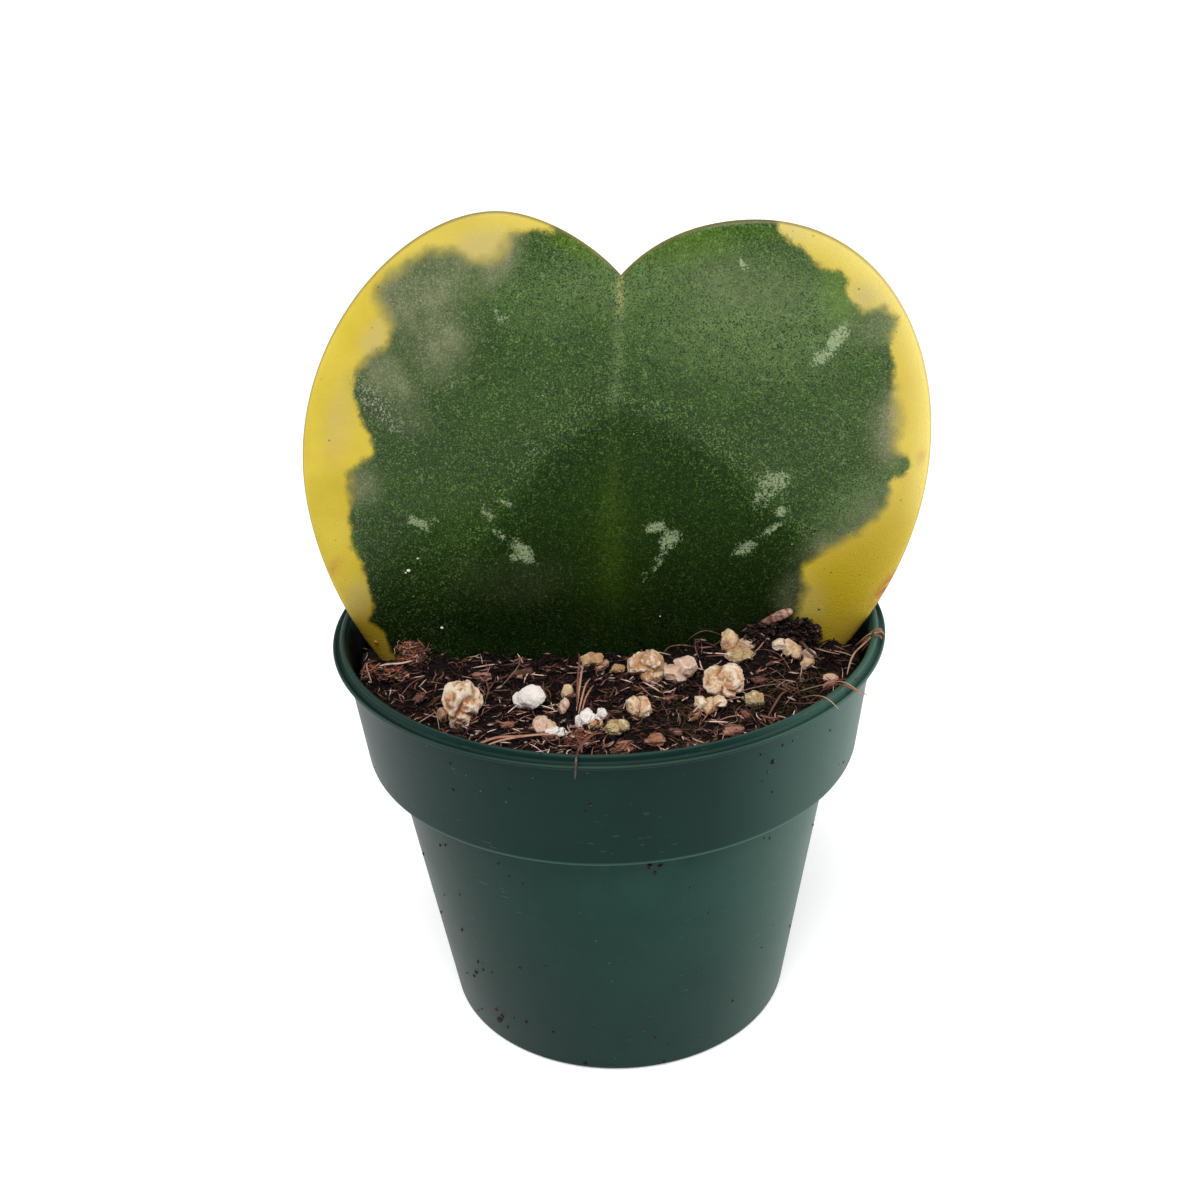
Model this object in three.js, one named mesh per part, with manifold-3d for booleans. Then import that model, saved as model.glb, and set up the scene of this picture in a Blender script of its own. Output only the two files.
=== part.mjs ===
// Potted heart-leaf hoya: one rooted leaf standing in a small round nursery pot.
// Millimetres, +Z up. The origin is the middle of the pot's underside and the
// upper face of the leaf looks towards -Y.

import * as THREE from 'three';
import { mergeVertices } from 'three/addons/utils/BufferGeometryUtils.js';
import Module from 'manifold-3d';

const wasm = await Module();
wasm.setup();

// Pot: a 90 mm round nursery pot, 71 mm tall
const LIP_RADIUS = 45;
const LIP_HEIGHT = 70;
const LIP_THICKNESS = 1;
const LIP_GROOVE = 0.4;
const BEAD_RADIUS = 43.4;
const BEAD_RISE = 1;
const BEAD_HALF_WIDTH = 0.6;
const BAND_TOP_RADIUS = 43.4;
const BAND_FOOT_RADIUS = 41;
const SHOULDER_HEIGHT = 50;
const BODY_TOP_RADIUS = 37.2;
const FOOT_RADIUS = 29.5;
const FOOT_ROUNDING = 0.6;
const WALL = 0.9;
const WALL_FILLET = 0.8;
const FLOOR = 1.2;
const CHANNEL_RISE = 1.2;
const CENTRE_DISC_RADIUS = 12;
const FOOT_RING_INNER_RADIUS = 25.4;
const DRAIN_HOLES = 6;
const DRAIN_HOLE_RADIUS = 2.6;
const DRAIN_HOLE_SIDES = 16;
const POT_SIDES = 60;

// Potting mix: fills the pot to a few millimetres under the lip
const FIT_GAP = 0.3;
const MIX_LEVEL = 63.8;
const MIX_EDGE_RADIUS = 41.1;
const MIX_RINGS = 10;
const MIX_SIDES = 52;
const MIX_CRUMBLE = 0.8;
const MIX_WAVE = 0.45;
const MIX_RIPPLE = 0.3;

// Each mound: x, y, height, half width along x, half width along y
const MOUNDS = [
  [27, -4, 5, 6.5, 4.5],
  [15, -3, 2, 6.5, 5],
  [37, -3, 2.2, 4, 5],
  [-31, -3, 1.8, 4, 3],
];

// Each perlite grain or bark chip that shows in front of the leaf: x, y, width, height
const FRONT_GRAINS = [
  [-23, -19.5, 6.2, 6.6],
  [-13, -17, 5.2, 3.8],
  [-7, -13.5, 1.8, 1.8],
  [-10, -23, 3.1, 2.2],
  [-3.5, -21.5, 4.6, 2.8],
  [-2.5, -4.5, 3.8, 1.8],
  [6.5, -7.5, 6.8, 4.4],
  [11.5, -9.5, 5.2, 3.8],
  [17.5, -13.5, 6.2, 5],
  [15.5, -19.5, 5.2, 2.6],
  [4, -19, 4, 3.6],
  [1, -24, 4, 3],
  [20, -6, 3, 3],
  [21.5, -9, 5, 2.4],
  [27.5, -8.5, 2, 1.8],
  [29.5, -11, 3.2, 2.8],
  [33, -9, 2.4, 2],
  [22.5, -19, 3, 2.8],
  [1, -30, 2.6, 2],
  [18, -28, 2.2, 1.6],
];
const BACK_GRAINS = 12;
const BACK_GRAIN_SIZE = [2, 5.5];
const GRAIN_SUNK = 0.3;
const GRAIN_ROUGHNESS = 0.24;
const SMALL_GRAIN = 3.5;

// Each coarse fibre lying on the mix: x, y, length, heading in degrees
const FIBRES = [
  [-17.5, -20.5, 12, -8],
  [-31, -9, 11, 12],
  [-26, -14, 8, -40],
  [-5, -27, 9, 15],
  [4, -12, 8, 100],
  [9, -25, 10, -12],
  [24, -25, 11, 38],
  [31, -16, 9, 20],
  [-16, 18, 12, 30],
  [10, 24, 11, -25],
];
const FIBRE_RADIUS = 0.4;
const FIBRE_ARCH = 0.3;
const FIBRE_END_DEPTH = 1.6;

// Leaf: it leans forward a little, and its right side is turned towards -Y
const LEAF_LEAN = THREE.MathUtils.degToRad(5);
const LEAF_TURN = THREE.MathUtils.degToRad(-3.5);
const LEAF_FOOT = new THREE.Vector3(0, 0.3, 64);
const BLADE_THICKNESS = 3.2;
const MARGIN_FULLNESS = 16;
const BLADE_CUP = 1.5;
const BLADE_HALF_WIDTH = 48;
const MIDRIB_GROOVE = 0.35;
const MIDRIB_HALF_WIDTH = 1.6;
const BLADE_RAYS = 72;
const BLADE_RINGS = 8;

// Outline of the blade in its own plane, as across and up from the pot's axis
const NOTCH = [3.9, 129.2];
const BLADE_CENTRE = [1.4, 92];
const BLADE_BASE = [-0.2, 38];
const LEFT_OUTLINE = [
  [NOTCH, [0.8, 133.4], [-7, 139.3], [-14, 139.3]],
  [[-14, 139.3], [-28.3, 139.3], [-46.7, 119.6], [-46.7, 95]],
  [[-46.7, 95], [-46.7, 83.5], [-43.2, 71.5], [-38, 62.9]],
  [[-38, 62.9], [-32.5, 54], [-14, 40], BLADE_BASE],
];
const RIGHT_OUTLINE = [
  [BLADE_BASE, [14, 40], [32.5, 56], [39.3, 66]],
  [[39.3, 66], [46, 76], [50.2, 88.5], [50.2, 101]],
  [[50.2, 101], [50.2, 121.8], [39.6, 137.2], [23, 137.2]],
  [[23, 137.2], [14.5, 137.2], [8, 133.9], NOTCH],
];

// Petiole and roots, under the mix
const PETIOLE_RADIUS = 2.1;
const PETIOLE_PATH = [[0, 0, 44], [-0.3, 0.2, 36], [-0.2, 0.8, 29], [0.4, 1.2, 22]];
const ROOTS = 5;
const ROOT_RADIUS = 0.7;
const ROOT_SPREAD = 13;
const ROOT_DROP = 9;

const MERGE_DISTANCE = 1e-4;

const potPlastic = new THREE.MeshStandardMaterial({ color: 0x1c3f37, roughness: 0.45, metalness: 0 });
const darkMix = new THREE.MeshStandardMaterial({ color: 0x3a261c, roughness: 0.95, metalness: 0 });
const leafGreen = new THREE.MeshStandardMaterial({ color: 0x2f5128, roughness: 0.4, metalness: 0 });

// A copy that holds positions only, with its shared vertices merged.
function merge(geometry) {
  const bare = geometry.clone();
  bare.deleteAttribute('normal');
  bare.deleteAttribute('uv');
  return mergeVertices(bare, MERGE_DISTANCE);
}

// A closed geometry as a solid, without its collapsed triangles, such as
// those at a pole.
function toSolid(geometry) {
  const merged = merge(geometry);
  const corners = merged.index.array;
  const kept = [];
  for (let i = 0; i < corners.length; i += 3) {
    const [a, b, c] = [corners[i], corners[i + 1], corners[i + 2]];
    if (a !== b && b !== c && c !== a) kept.push(a, b, c);
  }
  return new wasm.Manifold(new wasm.Mesh({
    numProp: 3,
    vertProperties: merged.attributes.position.array,
    triVerts: Uint32Array.from(kept),
  }));
}

function toMesh(solid, name, material) {
  const { vertProperties, triVerts } = solid.getMesh();
  const geometry = new THREE.BufferGeometry();
  geometry.setAttribute('position', new THREE.BufferAttribute(vertProperties, 3));
  geometry.setIndex(new THREE.BufferAttribute(triVerts, 1));
  const mesh = new THREE.Mesh(geometry, material);
  mesh.name = name;
  return mesh;
}

// A profile of [radius, height] points turned round the pot's axis.
function turned(profile, sides) {
  const points = profile.map(([radius, height]) => new THREE.Vector2(radius, height));
  return new THREE.LatheGeometry(points, sides).rotateX(Math.PI / 2);
}

// A round tube with flat ends along a smooth path.
function tube(path, radius, sides, steps) {
  const section = new THREE.Shape(
    Array.from({ length: sides }, (_, i) => {
      const angle = (i / sides) * Math.PI * 2;
      return new THREE.Vector2(Math.cos(angle) * radius, Math.sin(angle) * radius);
    }),
  );
  const curve = new THREE.CatmullRomCurve3(path.map((point) => new THREE.Vector3(...point)));
  return new THREE.ExtrudeGeometry(section, { steps, extrudePath: curve });
}

// The same sequence of numbers from 0 to 1 each time, for one seed.
function seededDraw(seed) {
  let state = seed;
  return () => {
    state = (state * 16807) % 2147483647;
    return state / 2147483647;
  };
}

// Pot walls

function bandRadiusAt(height) {
  const rise = (height - SHOULDER_HEIGHT) / (LIP_HEIGHT - SHOULDER_HEIGHT);
  return THREE.MathUtils.lerp(BAND_FOOT_RADIUS, BAND_TOP_RADIUS, rise);
}

function bodyRadiusAt(height) {
  return THREE.MathUtils.lerp(FOOT_RADIUS, BODY_TOP_RADIUS, height / SHOULDER_HEIGHT);
}

function potProfile() {
  const floorTop = CHANNEL_RISE + FLOOR;
  const lipUnder = LIP_HEIGHT - LIP_THICKNESS;
  const beadTop = LIP_HEIGHT + BEAD_RISE;
  const footCorner = [-90, -60, -30, -5].map((degrees) => {
    const angle = THREE.MathUtils.degToRad(degrees);
    const centre = bodyRadiusAt(FOOT_ROUNDING) - FOOT_ROUNDING;
    return [centre + Math.cos(angle) * FOOT_ROUNDING, FOOT_ROUNDING * (1 + Math.sin(angle))];
  });
  return [
    [0, 0],
    [CENTRE_DISC_RADIUS, 0],
    [CENTRE_DISC_RADIUS + WALL_FILLET, CHANNEL_RISE],
    [FOOT_RING_INNER_RADIUS - WALL_FILLET, CHANNEL_RISE],
    [FOOT_RING_INNER_RADIUS, 0],
    ...footCorner,
    [bodyRadiusAt(SHOULDER_HEIGHT - WALL_FILLET), SHOULDER_HEIGHT - WALL_FILLET],
    [BODY_TOP_RADIUS + WALL_FILLET / 2, SHOULDER_HEIGHT - 0.1],
    [BAND_FOOT_RADIUS - 0.35, SHOULDER_HEIGHT],
    [BAND_FOOT_RADIUS - 0.05, SHOULDER_HEIGHT + 0.15],
    [bandRadiusAt(SHOULDER_HEIGHT + 0.5), SHOULDER_HEIGHT + 0.5],
    [bandRadiusAt(lipUnder - 0.3), lipUnder - 0.3],
    [BAND_TOP_RADIUS + 0.3, lipUnder],
    [LIP_RADIUS - 0.5, lipUnder],
    [LIP_RADIUS, lipUnder + 0.45],
    [LIP_RADIUS, LIP_HEIGHT - 0.2],
    [LIP_RADIUS - 0.25, LIP_HEIGHT],
    [BEAD_RADIUS + BEAD_HALF_WIDTH + 0.35, LIP_HEIGHT - LIP_GROOVE],
    [BEAD_RADIUS + BEAD_HALF_WIDTH, LIP_HEIGHT - LIP_GROOVE],
    [BEAD_RADIUS + BEAD_HALF_WIDTH - 0.2, beadTop - 0.35],
    [BEAD_RADIUS, beadTop],
    [BEAD_RADIUS - BEAD_HALF_WIDTH + 0.2, beadTop - 0.2],
    [BEAD_RADIUS - BEAD_HALF_WIDTH, beadTop - 0.7],
    ...potInside(0).reverse(),
    [FOOT_RING_INNER_RADIUS, floorTop],
    [CENTRE_DISC_RADIUS + 1.2, floorTop],
    [CENTRE_DISC_RADIUS + 0.2, FLOOR],
    [0, FLOOR],
  ];
}

// The inner wall from the floor's edge up to the lip, drawn in by a gap.
function potInside(gap) {
  const floorTop = CHANNEL_RISE + FLOOR + gap;
  const ledge = SHOULDER_HEIGHT + WALL + gap;
  const inset = WALL + gap;
  return [
    [bodyRadiusAt(floorTop) - inset - WALL_FILLET, floorTop],
    [bodyRadiusAt(floorTop + WALL_FILLET) - inset, floorTop + WALL_FILLET],
    [BODY_TOP_RADIUS - inset, ledge - WALL_FILLET],
    [BODY_TOP_RADIUS - inset + WALL_FILLET / 2, ledge],
    [BAND_FOOT_RADIUS - inset - WALL_FILLET, ledge + 0.1],
    [bandRadiusAt(ledge + WALL_FILLET) - inset, ledge + WALL_FILLET],
    [bandRadiusAt(LIP_HEIGHT - 1.5) - inset, LIP_HEIGHT - 1.5],
  ];
}

function nurseryPot() {
  let pot = toSolid(turned(potProfile(), POT_SIDES));
  const channelMiddle = (CENTRE_DISC_RADIUS + FOOT_RING_INNER_RADIUS) / 2;
  const cutter = [DRAIN_HOLE_RADIUS, DRAIN_HOLE_RADIUS, (CHANNEL_RISE + FLOOR) * 3, DRAIN_HOLE_SIDES];
  for (let i = 0; i < DRAIN_HOLES; i += 1) {
    const angle = ((i + 0.5) / DRAIN_HOLES) * Math.PI * 2;
    const hole = new THREE.CylinderGeometry(...cutter);
    hole.rotateX(Math.PI / 2);
    hole.translate(Math.cos(angle) * channelMiddle, Math.sin(angle) * channelMiddle, 0);
    pot = pot.subtract(toSolid(hole));
  }
  return pot;
}

// Leaf

function outlinePoints() {
  const points = [];
  for (const corners of [...LEFT_OUTLINE, ...RIGHT_OUTLINE]) {
    const curve = new THREE.CubicBezierCurve(...corners.map((corner) => new THREE.Vector2(...corner)));
    points.push(...curve.getPoints(40).slice(0, -1));
  }
  return points;
}

// How far the outline lies from the blade's centre along one ray.
function rayReader(points) {
  const centre = new THREE.Vector2(...BLADE_CENTRE);
  const start = Math.atan2(NOTCH[1] - BLADE_CENTRE[1], NOTCH[0] - BLADE_CENTRE[0]);
  const turns = points.map((point) => {
    const angle = Math.atan2(point.y - centre.y, point.x - centre.x) - start;
    return { angle: (angle + Math.PI * 4) % (Math.PI * 2), reach: point.distanceTo(centre) };
  });
  turns[0].angle = 0;
  turns.push({ angle: Math.PI * 2, reach: turns[0].reach });
  return (turn) => {
    const next = Math.max(1, turns.findIndex(({ angle }) => angle >= turn));
    const [a, b] = [turns[next - 1], turns[next]];
    const along = (turn - a.angle) / (b.angle - a.angle);
    return { angle: start + turn, reach: THREE.MathUtils.lerp(a.reach, b.reach, along) };
  };
}

function midribAcross(up) {
  const below = up < BLADE_CENTRE[1];
  const [from, to] = below ? [BLADE_BASE, BLADE_CENTRE] : [BLADE_CENTRE, NOTCH];
  return THREE.MathUtils.mapLinear(up, from[1], to[1], from[0], to[0]);
}

// The blade is a flattened ball whose equator follows the heart outline. Its
// front has a groove along the midrib, and its back has a low ridge there.
function bladeGeometry(swell) {
  const readRay = rayReader(outlinePoints());
  const ball = new THREE.SphereGeometry(1, BLADE_RAYS, BLADE_RINGS * 2);
  const { position, uv } = ball.attributes;
  for (let i = 0; i < position.count; i += 1) {
    const { angle, reach } = readRay((uv.getX(i) % 1) * Math.PI * 2);
    const fromPole = 1 - Math.abs(uv.getY(i) * 2 - 1);
    const side = Math.sign(Math.round((uv.getY(i) - 0.5) * 1000));
    const share = Math.sin((fromPole * Math.PI) / 2);
    const across = BLADE_CENTRE[0] + Math.cos(angle) * (reach + swell) * share;
    const up = BLADE_CENTRE[1] + Math.sin(angle) * (reach + swell) * share;
    const fullness = Math.sqrt(1 - Math.min(1, share) ** MARGIN_FULLNESS);
    const half = side * (BLADE_THICKNESS / 2 + swell) * fullness;
    const off = across - midribAcross(up);
    const groove = MIDRIB_GROOVE * Math.exp(-((off / MIDRIB_HALF_WIDTH) ** 2)) * fullness;
    const cup = BLADE_CUP * (Math.abs(off) / BLADE_HALF_WIDTH) ** 1.5;
    position.setXYZ(i, across, groove - cup - half, up - LEAF_FOOT.z);
  }
  return ball;
}

// The whole leaf, swollen by a clearance where it is used to cut its hole.
function leafSolid(swell) {
  const petiolePath = PETIOLE_PATH.map(([x, y, z]) => [x, y, z - LEAF_FOOT.z]);
  let leaf = toSolid(bladeGeometry(swell));
  leaf = leaf.add(toSolid(tube(petiolePath, PETIOLE_RADIUS + swell, 10, 8)));
  const [rootX, rootY, rootZ] = petiolePath.at(-1);
  for (let i = 0; i < ROOTS; i += 1) {
    const angle = ((i + 0.2) / ROOTS) * Math.PI * 2;
    const reach = ROOT_SPREAD * (1 - 0.12 * (i % 3));
    const drop = ROOT_DROP * (1 - 0.15 * (i % 2));
    const path = [[0, 2], [0.35, -1.5], [0.7, -4.5], [1, -drop]].map(([out, down]) => [
      rootX + Math.cos(angle) * reach * out,
      rootY + Math.sin(angle) * reach * out,
      rootZ + down,
    ]);
    leaf = leaf.add(toSolid(tube(path, ROOT_RADIUS + swell, 6, 5)));
  }
  const placing = new THREE.Matrix4()
    .makeTranslation(LEAF_FOOT)
    .multiply(new THREE.Matrix4().makeRotationZ(LEAF_TURN))
    .multiply(new THREE.Matrix4().makeRotationX(LEAF_LEAN));
  return leaf.transform(placing.elements);
}

// Potting mix

// A fixed number from -0.5 to 0.5 for each place on the mix.
function crumbAt(x, y) {
  const spread = Math.sin(Math.round(x * 50) * 12.9898 + Math.round(y * 50) * 78.233) * 43758.5453;
  return spread - Math.floor(spread) - 0.5;
}

function mixHeightAt(x, y) {
  let height = MIX_LEVEL;
  height += MIX_WAVE * Math.sin(0.62 * x + 1.1) * Math.cos(0.55 * y - 0.4);
  height += MIX_RIPPLE * Math.sin(1.15 * x - 0.9 * y);
  for (const [moundX, moundY, rise, halfX, halfY] of MOUNDS) {
    height += rise * Math.exp(-(((x - moundX) / halfX) ** 2) - ((y - moundY) / halfY) ** 2);
  }
  return height;
}

function mixBody() {
  const underside = [
    [0, FLOOR + FIT_GAP],
    [CENTRE_DISC_RADIUS, FLOOR + FIT_GAP],
    [CENTRE_DISC_RADIUS + 1, CHANNEL_RISE + FLOOR + FIT_GAP],
  ];
  const wall = potInside(FIT_GAP).slice(0, -1);
  const lastWall = [bandRadiusAt(MIX_LEVEL - 2.5) - WALL - FIT_GAP - 0.2, MIX_LEVEL - 2.5];
  const top = Array.from({ length: MIX_RINGS + 1 }, (_, i) => [
    MIX_EDGE_RADIUS * (1 - i / MIX_RINGS),
    MIX_LEVEL,
  ]);
  const body = turned([...underside, ...wall, lastWall, ...top], MIX_SIDES);
  const { position } = body.attributes;
  for (let i = 0; i < position.count; i += 1) {
    if (position.getZ(i) > MIX_LEVEL - 0.1) {
      const [x, y] = [position.getX(i), position.getY(i)];
      position.setZ(i, mixHeightAt(x, y) + MIX_CRUMBLE * crumbAt(x, y));
    }
  }
  return toSolid(body);
}

// One rough, rounded lump, part sunk in the mix.
function grain(x, y, width, height, draw) {
  const detail = Math.max(width, height) > SMALL_GRAIN ? 1 : 0;
  const lump = merge(new THREE.IcosahedronGeometry(0.5, detail));
  const { position } = lump.attributes;
  for (let i = 0; i < position.count; i += 1) {
    const scale = 1 + (draw() - 0.5) * 2 * GRAIN_ROUGHNESS;
    position.setXYZ(i, position.getX(i) * scale, position.getY(i) * scale, position.getZ(i) * scale);
  }
  lump.scale(width, (width + height) / 2, height);
  lump.rotateZ(draw() * Math.PI);
  lump.translate(x, y, mixHeightAt(x, y) + height * (0.5 - GRAIN_SUNK) - MIX_CRUMBLE / 2);
  return toSolid(lump);
}

// One bent fibre, laid on the mix with its ends sunk in.
function fibre(x, y, length, headingDegrees) {
  const heading = THREE.MathUtils.degToRad(headingDegrees);
  const path = [-0.5, -0.2, 0.2, 0.5].map((along, i) => {
    const bend = i === 1 ? 0.08 * length : 0;
    const px = x + Math.cos(heading) * along * length - Math.sin(heading) * bend;
    const py = y + Math.sin(heading) * along * length + Math.cos(heading) * bend;
    const lift = i === 0 || i === 3 ? -FIBRE_END_DEPTH : FIBRE_ARCH;
    return [px, py, mixHeightAt(px, py) + lift];
  });
  return toSolid(tube(path, FIBRE_RADIUS, 5, 4));
}

function pottingMix(leafHole) {
  const draw = seededDraw(41);
  let mix = mixBody();
  for (const [x, y, width, height] of FRONT_GRAINS) {
    mix = mix.add(grain(x, y, width, height, draw));
  }
  for (let i = 0; i < BACK_GRAINS; i += 1) {
    const angle = Math.PI * (0.06 + 0.88 * ((i + draw() * 0.8) / BACK_GRAINS));
    const radius = 12 + 24 * Math.sqrt(draw());
    const width = THREE.MathUtils.lerp(...BACK_GRAIN_SIZE, draw());
    const y = 5 + Math.sin(angle) * radius * 0.9;
    mix = mix.add(grain(Math.cos(angle) * radius, y, width, width * 0.8, draw));
  }
  for (const [x, y, length, heading] of FIBRES) {
    mix = mix.add(fibre(x, y, length, heading));
  }
  return mix.subtract(leafHole);
}

const pottedHoya = new THREE.Group();
pottedHoya.add(toMesh(nurseryPot(), 'nursery_pot', potPlastic));
pottedHoya.add(toMesh(pottingMix(leafSolid(FIT_GAP + 0.1)), 'potting_mix', darkMix));
pottedHoya.add(toMesh(leafSolid(0), 'hoya_leaf', leafGreen));

export default pottedHoya;
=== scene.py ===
import math
import random
from bisect import bisect_left

import bmesh
import bpy
from mathutils import Matrix, Vector, noise
from mathutils.geometry import interpolate_bezier
from mathutils.kdtree import KDTree


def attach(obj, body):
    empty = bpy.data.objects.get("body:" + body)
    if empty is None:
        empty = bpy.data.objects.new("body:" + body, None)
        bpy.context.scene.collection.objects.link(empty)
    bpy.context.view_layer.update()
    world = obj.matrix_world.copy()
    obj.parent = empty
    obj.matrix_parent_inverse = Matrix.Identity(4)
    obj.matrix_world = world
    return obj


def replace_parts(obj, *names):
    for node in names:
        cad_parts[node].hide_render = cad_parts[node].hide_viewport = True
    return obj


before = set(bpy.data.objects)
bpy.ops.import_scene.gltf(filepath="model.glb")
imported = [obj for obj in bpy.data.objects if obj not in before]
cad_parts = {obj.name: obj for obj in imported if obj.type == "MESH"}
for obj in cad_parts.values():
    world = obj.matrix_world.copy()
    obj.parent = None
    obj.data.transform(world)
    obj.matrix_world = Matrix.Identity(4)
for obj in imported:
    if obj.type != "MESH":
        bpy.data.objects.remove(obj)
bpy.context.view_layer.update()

# Potted heart-leaf hoya. The sizes are in millimetres, +Z up, and each mesh is
# scaled to metres when it is finished. The upper face of the leaf looks to -Y.

# Nursery pot: one thin injection-moulded shell of dark green plastic with a
# rolled rim, a wide band and a tapered body. It is turned in one piece from
# its profile, and six drain holes are cut through its raised floor.
LIP_RADIUS = 45
LIP_HEIGHT = 70
BEAD_RADIUS = 43.4
BEAD_TOP = 71
BEAD_HALF_WIDTH = 0.6
GROOVE_FLOOR = 69.6
BAND_TOP_RADIUS = 43.4
BAND_FOOT_RADIUS = 41
SHOULDER_HEIGHT = 50
BODY_TOP_RADIUS = 37.2
FOOT_RADIUS = 29.5
WALL = 0.9
WALL_FILLET = 0.8
FLOOR = 1.2
CHANNEL_RISE = 1.2
CENTRE_DISC_RADIUS = 12
FOOT_RING_INNER_RADIUS = 25.4
DRAIN_HOLES = 6
DRAIN_HOLE_RADIUS = 2.6
POT_SIDES = 192
CORNER_ROUNDING = 0.14
LEVEL_NORMAL = 0.999


def band_radius(height):
    rise = (height - SHOULDER_HEIGHT) / (LIP_HEIGHT - SHOULDER_HEIGHT)
    return BAND_FOOT_RADIUS + (BAND_TOP_RADIUS - BAND_FOOT_RADIUS) * rise


def body_radius(height):
    return FOOT_RADIUS + (BODY_TOP_RADIUS - FOOT_RADIUS) * height / SHOULDER_HEIGHT


def pot_inside(gap):
    """The inner wall from the floor's edge up to the lip, drawn in by a gap."""
    floor_top = CHANNEL_RISE + FLOOR + gap
    ledge = SHOULDER_HEIGHT + WALL + gap
    inset = WALL + gap
    return [
        (body_radius(floor_top) - inset - WALL_FILLET, floor_top),
        (body_radius(floor_top + WALL_FILLET) - inset, floor_top + WALL_FILLET),
        (BODY_TOP_RADIUS - inset, ledge - WALL_FILLET),
        (BODY_TOP_RADIUS - inset + WALL_FILLET / 2, ledge),
        (BAND_FOOT_RADIUS - inset - WALL_FILLET, ledge + 0.1),
        (band_radius(ledge + WALL_FILLET) - inset, ledge + WALL_FILLET),
        (band_radius(LIP_HEIGHT - 1.5) - inset, LIP_HEIGHT - 1.5),
    ]


def turned(profile, sides, rounding=0.0):
    """A profile of (radius, height) points, its corners rounded, spun once round the pot's axis."""
    made = bmesh.new()
    points = [made.verts.new((radius, 0, height)) for radius, height in profile]
    for pair in zip(points, points[1:]):
        made.edges.new(pair)
    if rounding:
        bmesh.ops.bevel(made, geom=points[1:-1], offset=rounding, offset_type="OFFSET",
                        affect="VERTICES", segments=3, profile=0.5, material=-1, clamp_overlap=True)
    bmesh.ops.spin(made, geom=made.verts[:] + made.edges[:], cent=(0, 0, 0), axis=(0, 0, 1),
                   dvec=(0, 0, 0), angle=math.tau, steps=sides, use_merge=True)
    bmesh.ops.remove_doubles(made, verts=made.verts, dist=0.001)
    bmesh.ops.recalc_face_normals(made, faces=made.faces)
    return made


def finished(made, name, material):
    """The piece: its mesh in metres with smooth faces, its material, and its parent, the root body."""
    bmesh.ops.scale(made, vec=(0.001, 0.001, 0.001), verts=made.verts)
    for face in made.faces:
        face.smooth = True
    mesh = bpy.data.meshes.new(name)
    made.to_mesh(mesh)
    made.free()
    mesh.materials.append(material)
    piece = bpy.data.objects.new(name, mesh)
    bpy.context.scene.collection.objects.link(piece)
    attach(piece, "root")
    return piece


class Value:
    """An output of a finish's nodes. A sum on it adds a Math node."""

    def __init__(self, finish, socket):
        self.finish = finish
        self.socket = socket

    def math(self, operation, *terms):
        return self.finish.node("ShaderNodeMath", {"operation": operation}, dict(enumerate(terms)))

    def __abs__(self):
        return self.math("ABSOLUTE", self)

    def __add__(self, other):
        return self.math("ADD", self, other)

    def __radd__(self, other):
        return self.math("ADD", other, self)

    def __sub__(self, other):
        return self.math("SUBTRACT", self, other)

    def __rsub__(self, other):
        return self.math("SUBTRACT", other, self)

    def __mul__(self, other):
        return self.math("MULTIPLY", self, other)

    def __rmul__(self, other):
        return self.math("MULTIPLY", other, self)

    def __rtruediv__(self, other):
        return self.math("DIVIDE", other, self)

    def larger(self, other):
        return self.math("MAXIMUM", self, other)

    def band(self, low, high):
        """0 under low, 1 over high and smooth between them; falling where low is the larger."""
        return self.finish.node("ShaderNodeMapRange", {"interpolation_type": "SMOOTHSTEP"},
                                {"Value": self, "From Min": low, "From Max": high})


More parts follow.
